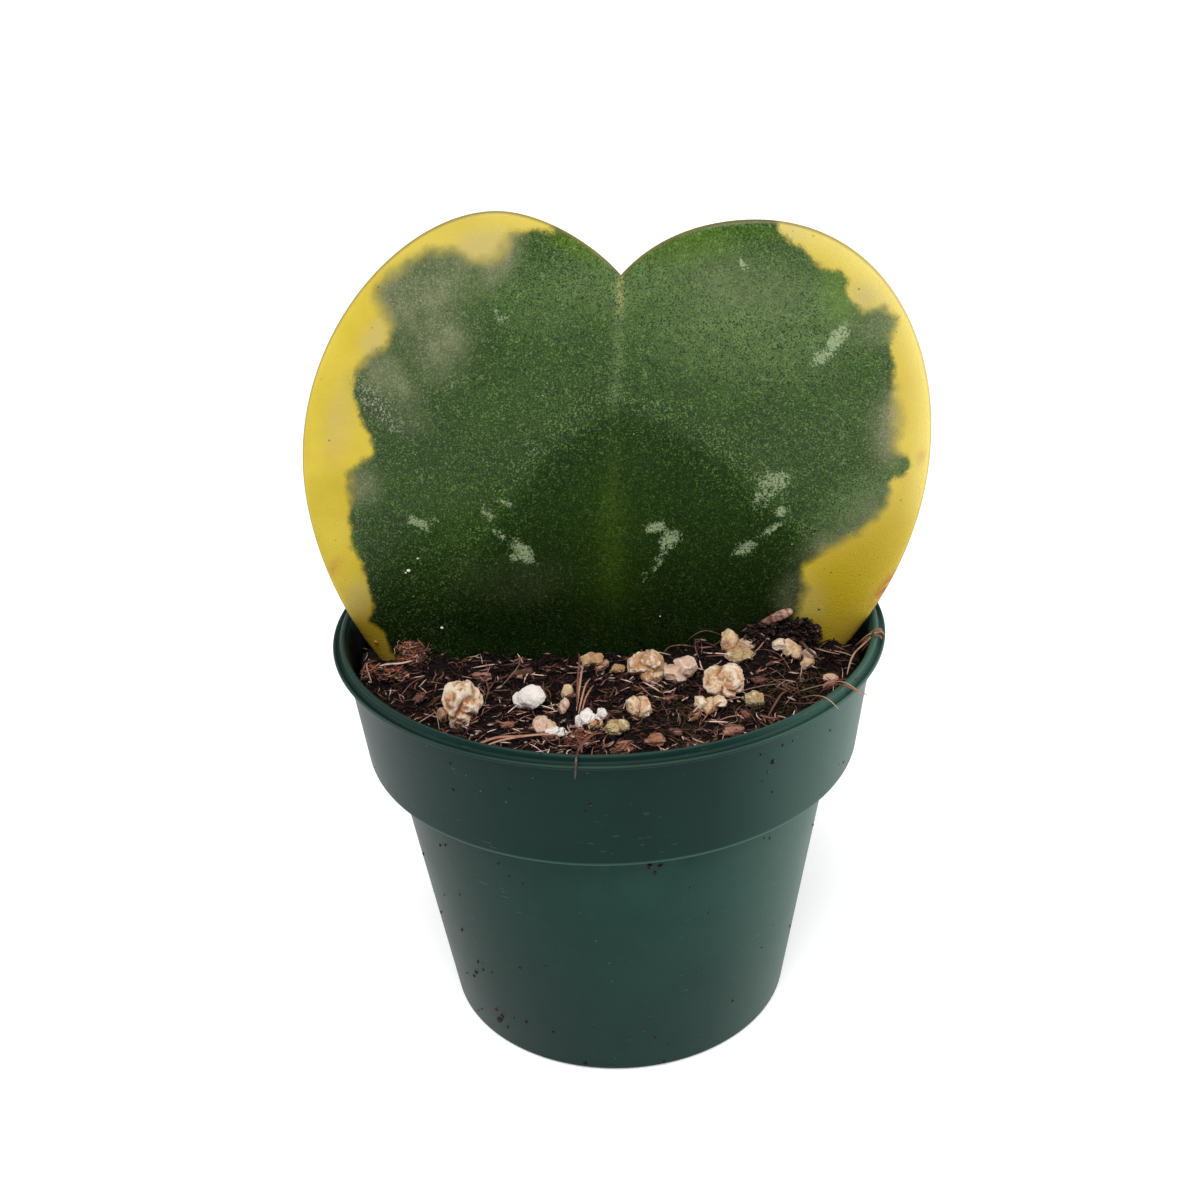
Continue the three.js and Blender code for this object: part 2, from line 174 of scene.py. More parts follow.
class Finish:
    """A material under way. Its nodes read Object coordinates in millimetres."""

    def __init__(self, name, **constants):
        self.material = bpy.data.materials.new(name)
        self.material.use_nodes = True
        self.tree = self.material.node_tree
        self.shader = self.tree.nodes["Principled BSDF"]
        for socket, value in constants.items():
            self.shader.inputs[socket.replace("_", " ")].default_value = value
        in_metres = self.node("ShaderNodeTexCoord", {}, {}, "Object")
        self.place = self.node("ShaderNodeVectorMath", {"operation": "SCALE"},
                               {0: in_metres, "Scale": 1000.0})

    def node(self, kind, settings, inputs, output=0):
        made = self.tree.nodes.new(kind)
        for name, value in settings.items():
            setattr(made, name, value)
        for name, value in inputs.items():
            self.plug(made.inputs[name], value)
        return Value(self, made.outputs[output])

    def plug(self, socket, value):
        if isinstance(value, Value):
            self.tree.links.new(value.socket, socket)
        else:
            socket.default_value = value

    def axes(self):
        parts = self.node("ShaderNodeSeparateXYZ", {}, {0: self.place})
        return [Value(self, socket) for socket in parts.socket.node.outputs]

    def stretched(self, x, y, z):
        return self.node("ShaderNodeVectorMath", {"operation": "MULTIPLY"}, {0: self.place, 1: (x, y, z)})

    def noise(self, per_mm, detail=2.0, roughness=0.5, distortion=0.0, place=None):
        return self.node("ShaderNodeTexNoise", {},
                         {"Vector": place or self.place, "Scale": per_mm, "Detail": detail,
                          "Roughness": roughness, "Distortion": distortion})

    def spots(self, per_mm, radius, share):
        """Round spots of a radius in cells, in that share of the cells."""
        cell = {"Vector": self.place, "Scale": per_mm}
        reach = self.node("ShaderNodeTexVoronoi", {}, cell, "Distance")
        draw = self.node("ShaderNodeTexVoronoi", {}, cell, "Color")
        picked = self.node("ShaderNodeSeparateColor", {}, {0: draw})
        return reach.band(radius, radius * 0.6) * picked.band(share + 0.01, share - 0.01)

    def mix(self, factor, first, second):
        return self.node("ShaderNodeMix", {"data_type": "RGBA"}, {0: factor, 6: first, 7: second}, 2)

    def attribute(self, name, output="Fac"):
        return self.node("ShaderNodeAttribute", {"attribute_name": name}, {}, output)

    def bump(self, height, depth_mm):
        relief = self.node("ShaderNodeBump", {}, {"Height": height, "Distance": depth_mm * 0.001})
        self.plug(self.shader.inputs["Normal"], relief)

    def paint(self, **surfaces):
        for socket, value in surfaces.items():
            self.plug(self.shader.inputs[socket.replace("_", " ")], value)
        return self.material


def colour(red, green, blue):
    """A colour as a screen shows it, 0 to 255, in the linear light that a shader takes."""
    return (*((part / 255 / 12.92 if part < 11 else ((part / 255 + 0.055) / 1.055) ** 2.4)
              for part in (red, green, blue)), 1.0)


pot_profile = [
    (0, 0),
    (CENTRE_DISC_RADIUS, 0),
    (CENTRE_DISC_RADIUS + WALL_FILLET, CHANNEL_RISE),
    (FOOT_RING_INNER_RADIUS - WALL_FILLET, CHANNEL_RISE),
    (FOOT_RING_INNER_RADIUS, 0),
    (FOOT_RADIUS - 0.5, 0),
    (body_radius(0.5), 0.5),
    (body_radius(SHOULDER_HEIGHT - WALL_FILLET), SHOULDER_HEIGHT - WALL_FILLET),
    (BODY_TOP_RADIUS + WALL_FILLET / 2, SHOULDER_HEIGHT - 0.1),
    (BAND_FOOT_RADIUS - 0.35, SHOULDER_HEIGHT),
    (BAND_FOOT_RADIUS - 0.05, SHOULDER_HEIGHT + 0.15),
    (band_radius(SHOULDER_HEIGHT + 0.5), SHOULDER_HEIGHT + 0.5),
    (band_radius(LIP_HEIGHT - 1.3), LIP_HEIGHT - 1.3),
    (BAND_TOP_RADIUS + 0.3, LIP_HEIGHT - 1),
    (LIP_RADIUS - 0.5, LIP_HEIGHT - 1),
    (LIP_RADIUS, LIP_HEIGHT - 0.55),
    (LIP_RADIUS, LIP_HEIGHT - 0.2),
    (LIP_RADIUS - 0.25, LIP_HEIGHT),
    (BEAD_RADIUS + BEAD_HALF_WIDTH + 0.35, GROOVE_FLOOR),
    (BEAD_RADIUS + BEAD_HALF_WIDTH, GROOVE_FLOOR),
    (BEAD_RADIUS + BEAD_HALF_WIDTH - 0.2, BEAD_TOP - 0.35),
    (BEAD_RADIUS, BEAD_TOP),
    (BEAD_RADIUS - BEAD_HALF_WIDTH + 0.2, BEAD_TOP - 0.2),
    (BEAD_RADIUS - BEAD_HALF_WIDTH, BEAD_TOP - 0.7),
    *reversed(pot_inside(0)),
    (FOOT_RING_INNER_RADIUS, CHANNEL_RISE + FLOOR),
    (CENTRE_DISC_RADIUS + 1.2, CHANNEL_RISE + FLOOR),
    (CENTRE_DISC_RADIUS + 0.2, FLOOR),
    (0, FLOOR),
]

plastic = Finish("dark_green_plastic", Specular_IOR_Level=0.1, Specular_Tint=(0.6, 1.0, 0.85, 1.0))
pot_x, _, pot_z = plastic.axes()
mottling = plastic.noise(0.07, detail=4.0, roughness=0.6)
grain = plastic.noise(2.6, detail=3.0)
scuffs = plastic.noise(0.8, detail=6.0, roughness=0.75, distortion=1.5).band(0.62, 0.78)
scuffs = scuffs * plastic.noise(0.045).band(0.5, 0.62)
scratches = plastic.noise(1.4, detail=3.0, place=plastic.stretched(0.25, 0.25, 1.6)).band(0.68, 0.74)
scratches = scratches * plastic.noise(0.05, place=plastic.stretched(1, 1, 0.6)).band(0.5, 0.6)
shoulder_highlight = abs(pot_z - (SHOULDER_HEIGHT + 0.3)).band(0.5, 0.1)
lip_highlight = abs(pot_z - (LIP_HEIGHT - 0.1)).band(0.3, 0.1)
bead_highlight = pot_z.band(BEAD_TOP - 0.25, BEAD_TOP - 0.05)
nicks = plastic.spots(0.16, 0.06, 0.35)
dust_spots = plastic.spots(0.5, 0.09, 0.25) * plastic.noise(0.06).band(0.5, 0.6)
smear_and_shade_noise = plastic.noise(0.3, detail=2.0).band(0.3, 0.7)
shade_under_shoulder = pot_z.band(49.9, 46.5) * pot_z.band(44, 47)
skin = plastic.mix(mottling.band(0.3, 0.7), colour(13, 46, 39), colour(21, 54, 46))
# The band is darker than the body, which darkens towards its foot
skin = plastic.mix(pot_z.band(SHOULDER_HEIGHT - 0.5, SHOULDER_HEIGHT) * 0.75, skin, colour(6, 26, 25))
skin = plastic.mix(pot_z.band(49.5, 4) * 0.5, skin, colour(4, 19, 18))
# Painted shade: the body just under the shoulder is darkened in patches
skin = plastic.mix(smear_and_shade_noise * shade_under_shoulder * 0.35, skin, colour(6, 24, 22))
# Painted highlight: a paler line along the edge of the shoulder
skin = plastic.mix(shoulder_highlight * 0.35, skin, colour(70, 106, 92))
# Painted highlights: paler lines along the lip and the top of the bead
skin = plastic.mix(lip_highlight.larger(bead_highlight) * (0.1 + mottling * 0.2), skin, colour(92, 114, 100))
# Painted light: the right side is painted paler, as if lit from the right, and the left side darker, as
# painted shade
skin = plastic.mix(pot_x.band(12, 40) * 0.5, skin, colour(54, 88, 76))
skin = plastic.mix(pot_x.band(-4, -40) * 0.3, skin, colour(10, 34, 30))
left_body_shade = pot_x.band(0, -24) * pot_z.band(SHOULDER_HEIGHT, 49)
skin = plastic.mix(left_body_shade * 0.4, skin, colour(4, 17, 16))
skin = plastic.mix(scuffs * 0.3, skin, colour(72, 96, 88))
skin = plastic.mix(scratches * 0.25, skin, colour(84, 106, 96))
skin = plastic.mix(nicks * 0.8, skin, colour(10, 18, 18))
skin = plastic.mix(dust_spots * 0.5, skin, colour(96, 92, 78))
# The inner wall above the mix is painted near black: partly a stain of damp peat, partly painted shade inside
# the rim
from_axis = plastic.node("ShaderNodeVectorMath", {"operation": "LENGTH"},
                         {0: plastic.stretched(1, 1, 0)}, "Value")
inner_wall = (from_axis - pot_z * 0.12).band(34.7, 34.5) * pot_z.band(50.5, 51.5)
stain_and_shade_inside = inner_wall * (pot_z + smear_and_shade_noise * 2).band(71.4, 69)
skin = plastic.mix(stain_and_shade_inside * 0.92, skin, colour(8, 5, 6))
plastic.bump(grain + scratches * 0.5 - nicks * 1.5, 0.03)
plastic.paint(Base_Color=skin, Roughness=0.36 + mottling * 0.12 + scuffs * 0.25)

pot = finished(turned(pot_profile, POT_SIDES, CORNER_ROUNDING), "pot_shell", plastic.material)
hole_cutters = bmesh.new()
channel_middle = (CENTRE_DISC_RADIUS + FOOT_RING_INNER_RADIUS) / 2
for hole in range(DRAIN_HOLES):
    angle = math.tau * (hole + 0.5) / DRAIN_HOLES
    place = Matrix.Translation((math.cos(angle) * channel_middle, math.sin(angle) * channel_middle,
                                CHANNEL_RISE))
    bmesh.ops.create_cone(hole_cutters, cap_ends=True, segments=40, radius1=DRAIN_HOLE_RADIUS,
                          radius2=DRAIN_HOLE_RADIUS, depth=8, matrix=place)
cutters = finished(hole_cutters, "hole_cutters", plastic.material)
cut = pot.modifiers.new("drain_holes", "BOOLEAN")
cut.operation = "DIFFERENCE"
cut.solver = "EXACT"
cut.object = cutters
bpy.context.view_layer.update()
cut_mesh = bpy.data.meshes.new_from_object(pot.evaluated_get(bpy.context.evaluated_depsgraph_get()))
pot.modifiers.clear()
pot.data = cut_mesh
# The level faces are shaded flat, so that the drain holes keep clean edges
for face in cut_mesh.polygons:
    face.use_smooth = abs(face.normal.z) < LEVEL_NORMAL
bpy.data.objects.remove(cutters)
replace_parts(pot, "nursery_pot")

# Potting mix: damp peat and coir that fills the pot to a few millimetres under
# its lip. Its body is turned to the pot's inside, and its top is raised into
# waves, mounds against the leaf and fine crumbly relief.
FIT_GAP = 0.3
MIX_LEVEL = 63.8
MIX_EDGE_RADIUS = 41.1
MIX_WAVE = 0.45
MIX_RIPPLE = 0.3
MIX_RINGS = 112
MIX_SIDES = 360
MIX_LUMP = 0.8
# Each mound: its middle across and back, its rise, half its width and half its depth
MOUNDS = [
    (27, -4, 5, 6.5, 4.5),
    (15, -3, 2, 6.5, 5),
    (37, -3, 2.2, 4, 5),
    (-31, -3, 1.8, 4, 3),
]


def mix_height(x, y):
    height = MIX_LEVEL
    height += MIX_WAVE * math.sin(0.62 * x + 1.1) * math.cos(0.55 * y - 0.4)
    height += MIX_RIPPLE * math.sin(1.15 * x - 0.9 * y)
    for mound_x, mound_y, rise, half_x, half_y in MOUNDS:
        height += rise * math.exp(-((x - mound_x) / half_x) ** 2 - ((y - mound_y) / half_y) ** 2)
    return height


def top_of_mix(x, y):
    """The crumbly surface itself, with its lumps and hollows."""
    lumps = noise.fractal(Vector((x * 0.5, y * 0.5, 3)), 0.7, 2.0, 5)
    return mix_height(x, y) + MIX_LUMP * (lumps - 0.45)


peat = Finish("damp_peat", Specular_IOR_Level=0.15)
crumbling = peat.noise(1.6, detail=5.0, roughness=0.7)
bark_dust = peat.noise(3.5, detail=3.0, roughness=0.6).band(0.58, 0.7)
damp = peat.noise(0.12, detail=2.0)
# The body is near black: dark damp peat, darkened further as painted shade in the gaps between crumbs
soil = peat.mix(crumbling.band(0.4, 0.72), colour(7, 5, 5), colour(36, 23, 19))
soil = peat.mix(bark_dust * 0.4, soil, colour(112, 76, 62))
peat.bump(crumbling + bark_dust * 0.4, 0.35)
peat.paint(Base_Color=soil, Roughness=0.6 + damp * 0.35)

mix_profile = [
    (0, FLOOR + FIT_GAP),
    (CENTRE_DISC_RADIUS, FLOOR + FIT_GAP),
    (CENTRE_DISC_RADIUS + 1, CHANNEL_RISE + FLOOR + FIT_GAP),
    *pot_inside(FIT_GAP)[:-1],
    (band_radius(MIX_LEVEL - 2.5) - WALL - FIT_GAP - 0.2, MIX_LEVEL - 2.5),
    *((MIX_EDGE_RADIUS * (1 - ring / MIX_RINGS), MIX_LEVEL) for ring in range(MIX_RINGS + 1)),
]
mix_body = turned(mix_profile, MIX_SIDES)
for vert in mix_body.verts:
    if vert.co.z > MIX_LEVEL - 0.1:
        vert.co.z = top_of_mix(vert.co.x, vert.co.y)
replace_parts(finished(mix_body, "potting_mix_body", peat.material), "potting_mix")

# Leaf: one thick, waxy, heart-shaped leaf, green with a yellow margin, rooted
# by its base. The blade is a flattened ball drawn out to the heart's outline,
# with a groove along the midrib in front and a low ridge behind.
LEAF_LEAN = math.radians(5)
LEAF_TURN = math.radians(-3.5)
LEAF_FOOT = Vector((0, 0.3, 64))
BLADE_THICKNESS = 3.2
MARGIN_FULLNESS = 16
BLADE_CUP = 1.5
BLADE_HALF_WIDTH = 48
MIDRIB_GROOVE = 0.35
MIDRIB_HALF_WIDTH = 1.6
BLADE_WAVE = 0.12
BLADE_RAYS = 400
BLADE_RINGS = 160
NOTCH = (3.9, 129.2)
BLADE_CENTRE = (1.4, 92)
BLADE_BASE = (-0.2, 38)
LEFT_OUTLINE = [
    (NOTCH, (0.8, 133.4), (-7, 139.3), (-14, 139.3)),
    ((-14, 139.3), (-28.3, 139.3), (-46.7, 119.6), (-46.7, 95)),
    ((-46.7, 95), (-46.7, 83.5), (-43.2, 71.5), (-38, 62.9)),
    ((-38, 62.9), (-32.5, 54), (-14, 40), BLADE_BASE),
]
RIGHT_OUTLINE = [
    (BLADE_BASE, (14, 40), (32.5, 56), (39.3, 66)),
    ((39.3, 66), (46, 76), (50.2, 88.5), (50.2, 101)),
    ((50.2, 101), (50.2, 121.8), (39.6, 137.2), (23, 137.2)),
    ((23, 137.2), (14.5, 137.2), (8, 133.9), NOTCH),
]
# The edge of the green, from the top margin down the left side to the mix, and up the right side
GREEN_LEFT = [
    (-5, 140), (-5.5, 136.5), (-8.5, 136.5), (-11.5, 136.5), (-12.5, 134.5), (-14, 133), (-16, 132.5),
    (-18, 133), (-19, 134), (-21, 134.5), (-23.5, 134.5), (-26.5, 133), (-30, 130.5), (-31.5, 129),
    (-32, 127), (-31, 125), (-30, 123), (-31, 120), (-34.2, 118.3), (-36.2, 116), (-36.9, 113.5),
    (-36.6, 110), (-36, 107.5), (-35, 104.5), (-35, 102), (-37, 101), (-39.5, 99), (-39.5, 96),
    (-40.1, 90), (-40.1, 85.5), (-39, 83), (-38.5, 79.5), (-38, 75), (-39, 72), (-37, 69), (-36, 65),
    (-30, 52), (0, 44),
]
GREEN_RIGHT = [
    (24, 60), (31, 72.5), (32, 77), (31, 80.5), (34.8, 84), (40.2, 87.5), (42.8, 90.4), (44.2, 92.6),
    (44.3, 95), (44.2, 96.2), (44.7, 96.9), (45.6, 97), (46.7, 97.6), (47.2, 98.9), (46.7, 100.4),
    (45.7, 101), (44.9, 101.2), (44.6, 102.2), (44.9, 104), (45.1, 107), (44.5, 109.2), (44, 110.5),
    (44.2, 112), (43.8, 115), (42.9, 119), (44, 122.6), (42, 124.6), (39, 123.8), (36.5, 126),
    (36.5, 128.5), (35.5, 130), (33, 130.5), (31, 132), (29.5, 133.5), (27.5, 135), (26.5, 136.5),
    (26, 140),
]
# Soft oval patches of the blade. Each has its middle across and up, its half length, its half width,
# its turn in degrees and its strength. First come the grey-green mineral veils over the green
VEILS = [
    (-25.5, 128.5, 8.5, 4.6, 25, 1.0), (-23.6, 121.2, 6.0, 4.1, 75, 0.95), (-31, 114.5, 5, 3, -60, 0.8),
    (-29, 109, 4, 2.4, -50, 0.3), (-37.2, 96.5, 3.4, 2.2, 80, 0.75), (-13.5, 132.8, 4.5, 2.1, 60, 0.9),
    (41.0, 121.8, 3.4, 2.8, 20, 0.4), (44.2, 106, 5.4, 2.8, 85, 1.0), (30.8, 76.0, 4.6, 2.8, 70, 0.4),
    (-15, 79, 8, 4, 0, 0.08), (42, 91, 6, 3, 45, 0.35), (36, 85.5, 6, 2.2, 30, 0.5),
    (22, 128, 8, 4, -10, 0.22),
]
# Fresh green by the edge
BRIGHT_PATCHES = [
    (-3, 134.4, 4.6, 1.3, -32, 0.8), (14.6, 134.2, 6.4, 3, 12, 0.85), (8, 132.6, 4, 1.2, 28, 0.6),
    (35.4, 126.4, 4.8, 2.6, 108, 1.3), (45.4, 98.8, 1.9, 1.5, 0, 0.4), (-40, 85.5, 2.6, 1.1, 100, 1.0),
    (24.5, 135.6, 2.6, 1, -20, 0.5),
]
# White mineral deposits
DEPOSITS = [
    (35.4, 120, 2.6, 1.3, 62, 1.1), (33.2, 116.9, 2.2, 1.2, 40, 0.95), (26.6, 96.4, 2.9, 2.0, 10, 0.9),
    (25, 93.6, 2.6, 1.6, 60, 0.74), (27.8, 91, 1.4, 0.9, 60, 1.0), (26.3, 87.8, 2.6, 0.7, 35, 0.9),
    (22.2, 84.4, 2.2, 1.1, 40, 1.0), (8.2, 88.2, 1.8, 1, 12, 1.1), (10.4, 85.9, 2.2, 1.5, 50, 1.05),
    (8.8, 82.2, 3.2, 0.7, 58, 0.8), (6.2, 79.2, 1, 0.5, 60, 0.8), (-29.2, 89.9, 2.2, 0.9, -38, 1.05),
    (-26.6, 90.2, 1, 0.5, -20, 0.9), (-18.1, 91.2, 2, 0.8, -55, 0.85), (-15.4, 93, 1.5, 0.5, -30, 0.9),
    (-16.4, 87.3, 1.5, 0.6, -50, 1.0), (-13, 84.1, 2.6, 1.3, -55, 1.2), (-14.6, 83, 1.1, 0.6, -20, 1.0),
    (-14, 124, 2.2, 0.9, -50, 0.62), (21.6, 131.2, 1.4, 0.7, -60, 0.8),
    (-21.4, 113.4, 1.4, 0.8, 0, 0.6),
]
# A patch of coarse grains
SPARKLES = [
    (-33.4, 110.2, 4.8, 1.6, -57, 1.0),
]
# Paler grey-green patches on the upper blade: partly wax bloom, partly painted sheen for the bright room that
# it reflects
BLOOM_AND_SHEEN_PATCHES = [
    (23, 123, 16, 9, -8, 1.15), (4, 128.5, 13, 4.6, 0, 1.0), (-9, 127, 9, 5, -12, 0.6),
    (39, 92, 9, 4, 48, 0.9), (38, 108, 9, 5, 80, 0.3), (30, 102, 10, 6, 50, 0.15),
    (42, 121.5, 4, 3, 10, 1.1), (30, 128, 5, 4, 0, 0.9),
]
# Deeper yellow
OLIVE_PATCHES = [
    (40, 80, 13, 6, 60, 1.0), (-40, 70, 7, 4, 60, 0.7), (-46.4, 84, 9, 1.8, 95, 0.6),
    (33, 68, 6, 6, 0, 0.9), (-45.8, 105, 9, 1.2, 80, 0.35),
]
# Duller, creamy yellow
PEACH_PATCHES = [
    (-16, 134.6, 3.6, 2.2, 20, 1.0), (39.4, 125.6, 3.2, 2.2, -30, 1.0), (-32.5, 121, 3.6, 1.8, 60, 0.8),
    (-40, 76, 4, 2, 70, 0.7), (28, 135.8, 3, 1.2, -20, 0.7), (-39.5, 108, 6, 2, 75, 0.5),
    (32, 74, 3, 4, 0, 0.5),
]
# Rusty stains by the edge
BLUSHES = [
    (48.8, 100.3, 1.1, 0.7, 80, 0.8), (-43.4, 82, 1.8, 1, 60, 0.6), (45.2, 77.0, 3.8, 1.2, 57, 1.5),
    (44.8, 75.4, 3.0, 0.5, 57, 1.5),
]
# The darkest part of the green, an arch over the middle of the base, painted dark as a reflection of dark
# surroundings in the glossy blade
ARCH_MIDDLE = (3, 72)
ARCH_HEIGHT = 36.5
ARCH_LEFT_WIDTH = 27
ARCH_RIGHT_WIDTH = 34.5
ARCH_ROUNDNESS = 1.4

leaf_placing = (Matrix.Translation(LEAF_FOOT) @ Matrix.Rotation(LEAF_TURN, 4, "Z")
                @ Matrix.Rotation(LEAF_LEAN, 4, "X"))
leaf_unplacing = leaf_placing.inverted()


def midrib_across(up):
    start, end = (BLADE_BASE, BLADE_CENTRE) if up < BLADE_CENTRE[1] else (BLADE_CENTRE, NOTCH)
    return start[0] + (end[0] - start[0]) * (up - start[1]) / (end[1] - start[1])


def blade_cup(off):
    """How far the blade stands forward, at a distance from its midrib."""
    return BLADE_CUP * (abs(off) / BLADE_HALF_WIDTH) ** 1.5


def patch_share(patches, across, up):
    """The strongest of some soft oval patches at a place on the blade."""
    best = 0.0
    for middle_across, middle_up, half_length, half_width, turn, strength in patches:
        lean = math.radians(turn)
        right, rise = across - middle_across, up - middle_up
        along = (right * math.cos(lean) + rise * math.sin(lean)) / half_length
        beside = (rise * math.cos(lean) - right * math.sin(lean)) / half_width
        best = max(best, strength * math.exp(-0.7 * (along * along + beside * beside) ** 1.5))
    return best


def inside_arch(across, up):
    """How deep a place lies inside the dark arch, in mm, and less than 0 outside it."""
    off_middle, rise = across - ARCH_MIDDLE[0], up - ARCH_MIDDLE[1]
    half_width = ARCH_LEFT_WIDTH if off_middle < 0 else ARCH_RIGHT_WIDTH
    reach = abs(off_middle / half_width) ** ARCH_ROUNDNESS + abs(rise / ARCH_HEIGHT) ** ARCH_ROUNDNESS
    return (1 - reach ** (1 / ARCH_ROUNDNESS)) * half_width


outline = []
for corners in LEFT_OUTLINE + RIGHT_OUTLINE:
    outline += interpolate_bezier(*(Vector(corner) for corner in corners), 61)[:-1]
blade_centre = Vector(BLADE_CENTRE)
first_ray = math.atan2(NOTCH[1] - BLADE_CENTRE[1], NOTCH[0] - BLADE_CENTRE[0])
ray_turns = []
for point in outline:
    angle = math.atan2(point.y - blade_centre.y, point.x - blade_centre.x) - first_ray
    ray_turns.append(angle % math.tau)
ray_turns[0] = 0.0
ray_turns.append(math.tau)
ray_reaches = [(point - blade_centre).length for point in outline + outline[:1]]

green_outline = GREEN_LEFT + GREEN_RIGHT
green_steps = []
for start, end in zip(green_outline, green_outline[1:] + green_outline[:1]):
    start, end = Vector(start), Vector(end)
    count = max(1, round((end - start).length / 0.4))
    green_steps += [(start.lerp(end, step / count), end - start) for step in range(count)]
green_edge = KDTree(len(green_steps))
for number, (point, heading) in enumerate(green_steps):
    green_edge.insert((point.x, point.y, 0), number)
green_edge.balance()


def inside_green(across, up):
    """How deep a place lies inside the green, in mm, and less than 0 in the yellow."""
    crossings = 0
    for (x1, y1), (x2, y2) in zip(green_outline, green_outline[1:] + green_outline[:1]):
        if (y1 > up) != (y2 > up) and across < x1 + (x2 - x1) * (up - y1) / (y2 - y1):
            crossings += 1
    reach = green_edge.find((across, up, 0))[2]
    return reach if crossings % 2 else -reach


blade_patches = {"veil": VEILS, "bright": BRIGHT_PATCHES, "deposit": DEPOSITS, "sparkle": SPARKLES,
                 "bloom_and_sheen": BLOOM_AND_SHEEN_PATCHES, "olive": OLIVE_PATCHES, "peach": PEACH_PATCHES, "blush": BLUSHES}
on_front_only = ("deposit", "sparkle")
blade = bmesh.new()
painted = {name: blade.verts.layers.float.new(name)
           for name in (*blade_patches, "green_depth", "arch", "rib", "rim", "back")}
bmesh.ops.create_uvsphere(blade, u_segments=BLADE_RAYS, v_segments=BLADE_RINGS, radius=1)
for vert in blade.verts:
    turn = math.atan2(vert.co.y, vert.co.x) % math.tau
    following = max(1, bisect_left(ray_turns, turn))
    part = (turn - ray_turns[following - 1]) / (ray_turns[following] - ray_turns[following - 1])
    reach = ray_reaches[following - 1] + (ray_reaches[following] - ray_reaches[following - 1]) * part
    share = min(1.0, math.hypot(vert.co.x, vert.co.y))
    side = 0 if abs(vert.co.z) < 1e-5 else math.copysign(1, vert.co.z)
    across = BLADE_CENTRE[0] + math.cos(first_ray + turn) * reach * share
    up = BLADE_CENTRE[1] + math.sin(first_ray + turn) * reach * share
    fullness = math.sqrt(1 - share ** MARGIN_FULLNESS)
    off = across - midrib_across(up)
    groove = MIDRIB_GROOVE * math.exp(-(off / MIDRIB_HALF_WIDTH) ** 2) * fullness
    wave = BLADE_WAVE * noise.fractal(Vector((across * 0.07, up * 0.07, side)), 1.0, 2.0, 2)
    vert.co = (across, groove - blade_cup(off) - side * BLADE_THICKNESS / 2 * fullness + wave * fullness,
               up - LEAF_FOOT.z)
    for name, patches in blade_patches.items():
        if side > 0 or name not in on_front_only:
            vert[painted[name]] = patch_share(patches, across, up)
    vert[painted["green_depth"]] = inside_green(across, up)
    vert[painted["arch"]] = inside_arch(across, up)
    vert[painted["rib"]] = off
    vert[painted["rim"]] = reach * (1 - share)
    vert[painted["back"]] = 1 if side < 0 else 0
bmesh.ops.remove_doubles(blade, verts=blade.verts, dist=0.001)
bmesh.ops.recalc_face_normals(blade, faces=blade.faces)
bmesh.ops.transform(blade, matrix=leaf_placing, verts=blade.verts)

waxy = Finish("waxy_variegated_leaf", Specular_IOR_Level=0.1, Coat_Roughness=0.28)
leaf_x, _, leaf_z = waxy.axes()
# The grain of the skin, from the finest flecks, which also carry painted glints, to broad clouds
flecks = waxy.noise(3.5, detail=1.0, roughness=0.6)
pits = waxy.noise(4.0, detail=1.0, roughness=0.6)
grit = waxy.noise(1.3, detail=3.0, roughness=0.7)
cells = waxy.noise(0.5, detail=4.0, roughness=0.6)
clouds = waxy.noise(0.07, detail=3.0)
depth = waxy.attribute("green_depth")
veil = waxy.attribute("veil")
back = waxy.attribute("back")
bloom_and_sheen = waxy.attribute("bloom_and_sheen") * (0.6 + cells * 0.6)
# Painted shade: the lower blade, towards the mix
low = leaf_z.band(96, 69)
rib = abs(waxy.attribute("rib"))
arch_depth = waxy.attribute("arch") + (cells - 0.5) * 5.0
arch = (arch_depth + (flecks - 0.5) * 5.0).band(-1.6, 1.4)
arch_border = arch_depth.band(-5, -1) * arch_depth.band(7, 1) * leaf_z.band(76, 88)
ragged = depth + (cells - 0.5) * 2.0 + (flecks - 0.5) * 0.9
softness = 0.55 + veil * 1.7
green_share = ((ragged + softness) * (0.5 / softness)).band(0.0, 1.0)
margin = ragged.band(3.5, 0.3)

yellow = waxy.mix(clouds.band(0.35, 0.65), colour(187, 165, 38), colour(201, 179, 56))
yellow = waxy.mix(leaf_x.band(20, 46) * 0.6, yellow, colour(203, 181, 86))
yellow = waxy.mix(leaf_z.band(122, 138) * 0.4, yellow, colour(206, 188, 104))
yellow = waxy.mix(waxy.noise(0.2, detail=3.0).band(0.48, 0.72) * 0.25, yellow, colour(196, 152, 56))
yellow = waxy.mix(waxy.attribute("olive") * (0.6 + clouds * 0.5), yellow, colour(166, 142, 8))
yellow = waxy.mix(waxy.attribute("peach") * (0.3 + cells), yellow, colour(184, 168, 104))
yellow = waxy.mix(waxy.attribute("blush") * cells.band(0.2, 0.55) * 0.7, yellow, colour(160, 82, 44))
yellow = waxy.mix(waxy.spots(0.3, 0.06, 0.5) * 0.7, yellow, colour(140, 96, 40))
# The foot of the left yellow margin darkens to brown: partly an olive-brown tint, partly painted shade by the
# mix
yellow = waxy.mix(leaf_x.band(-28, -36) * leaf_z.band(84, 66) * 0.4, yellow, colour(122, 84, 46))
yellow = waxy.mix(leaf_x.band(26, 34) * leaf_z.band(76, 67) * 0.35, yellow, colour(196, 162, 48))

green = waxy.mix(clouds.band(0.35, 0.65), colour(36, 66, 2), colour(49, 81, 8))
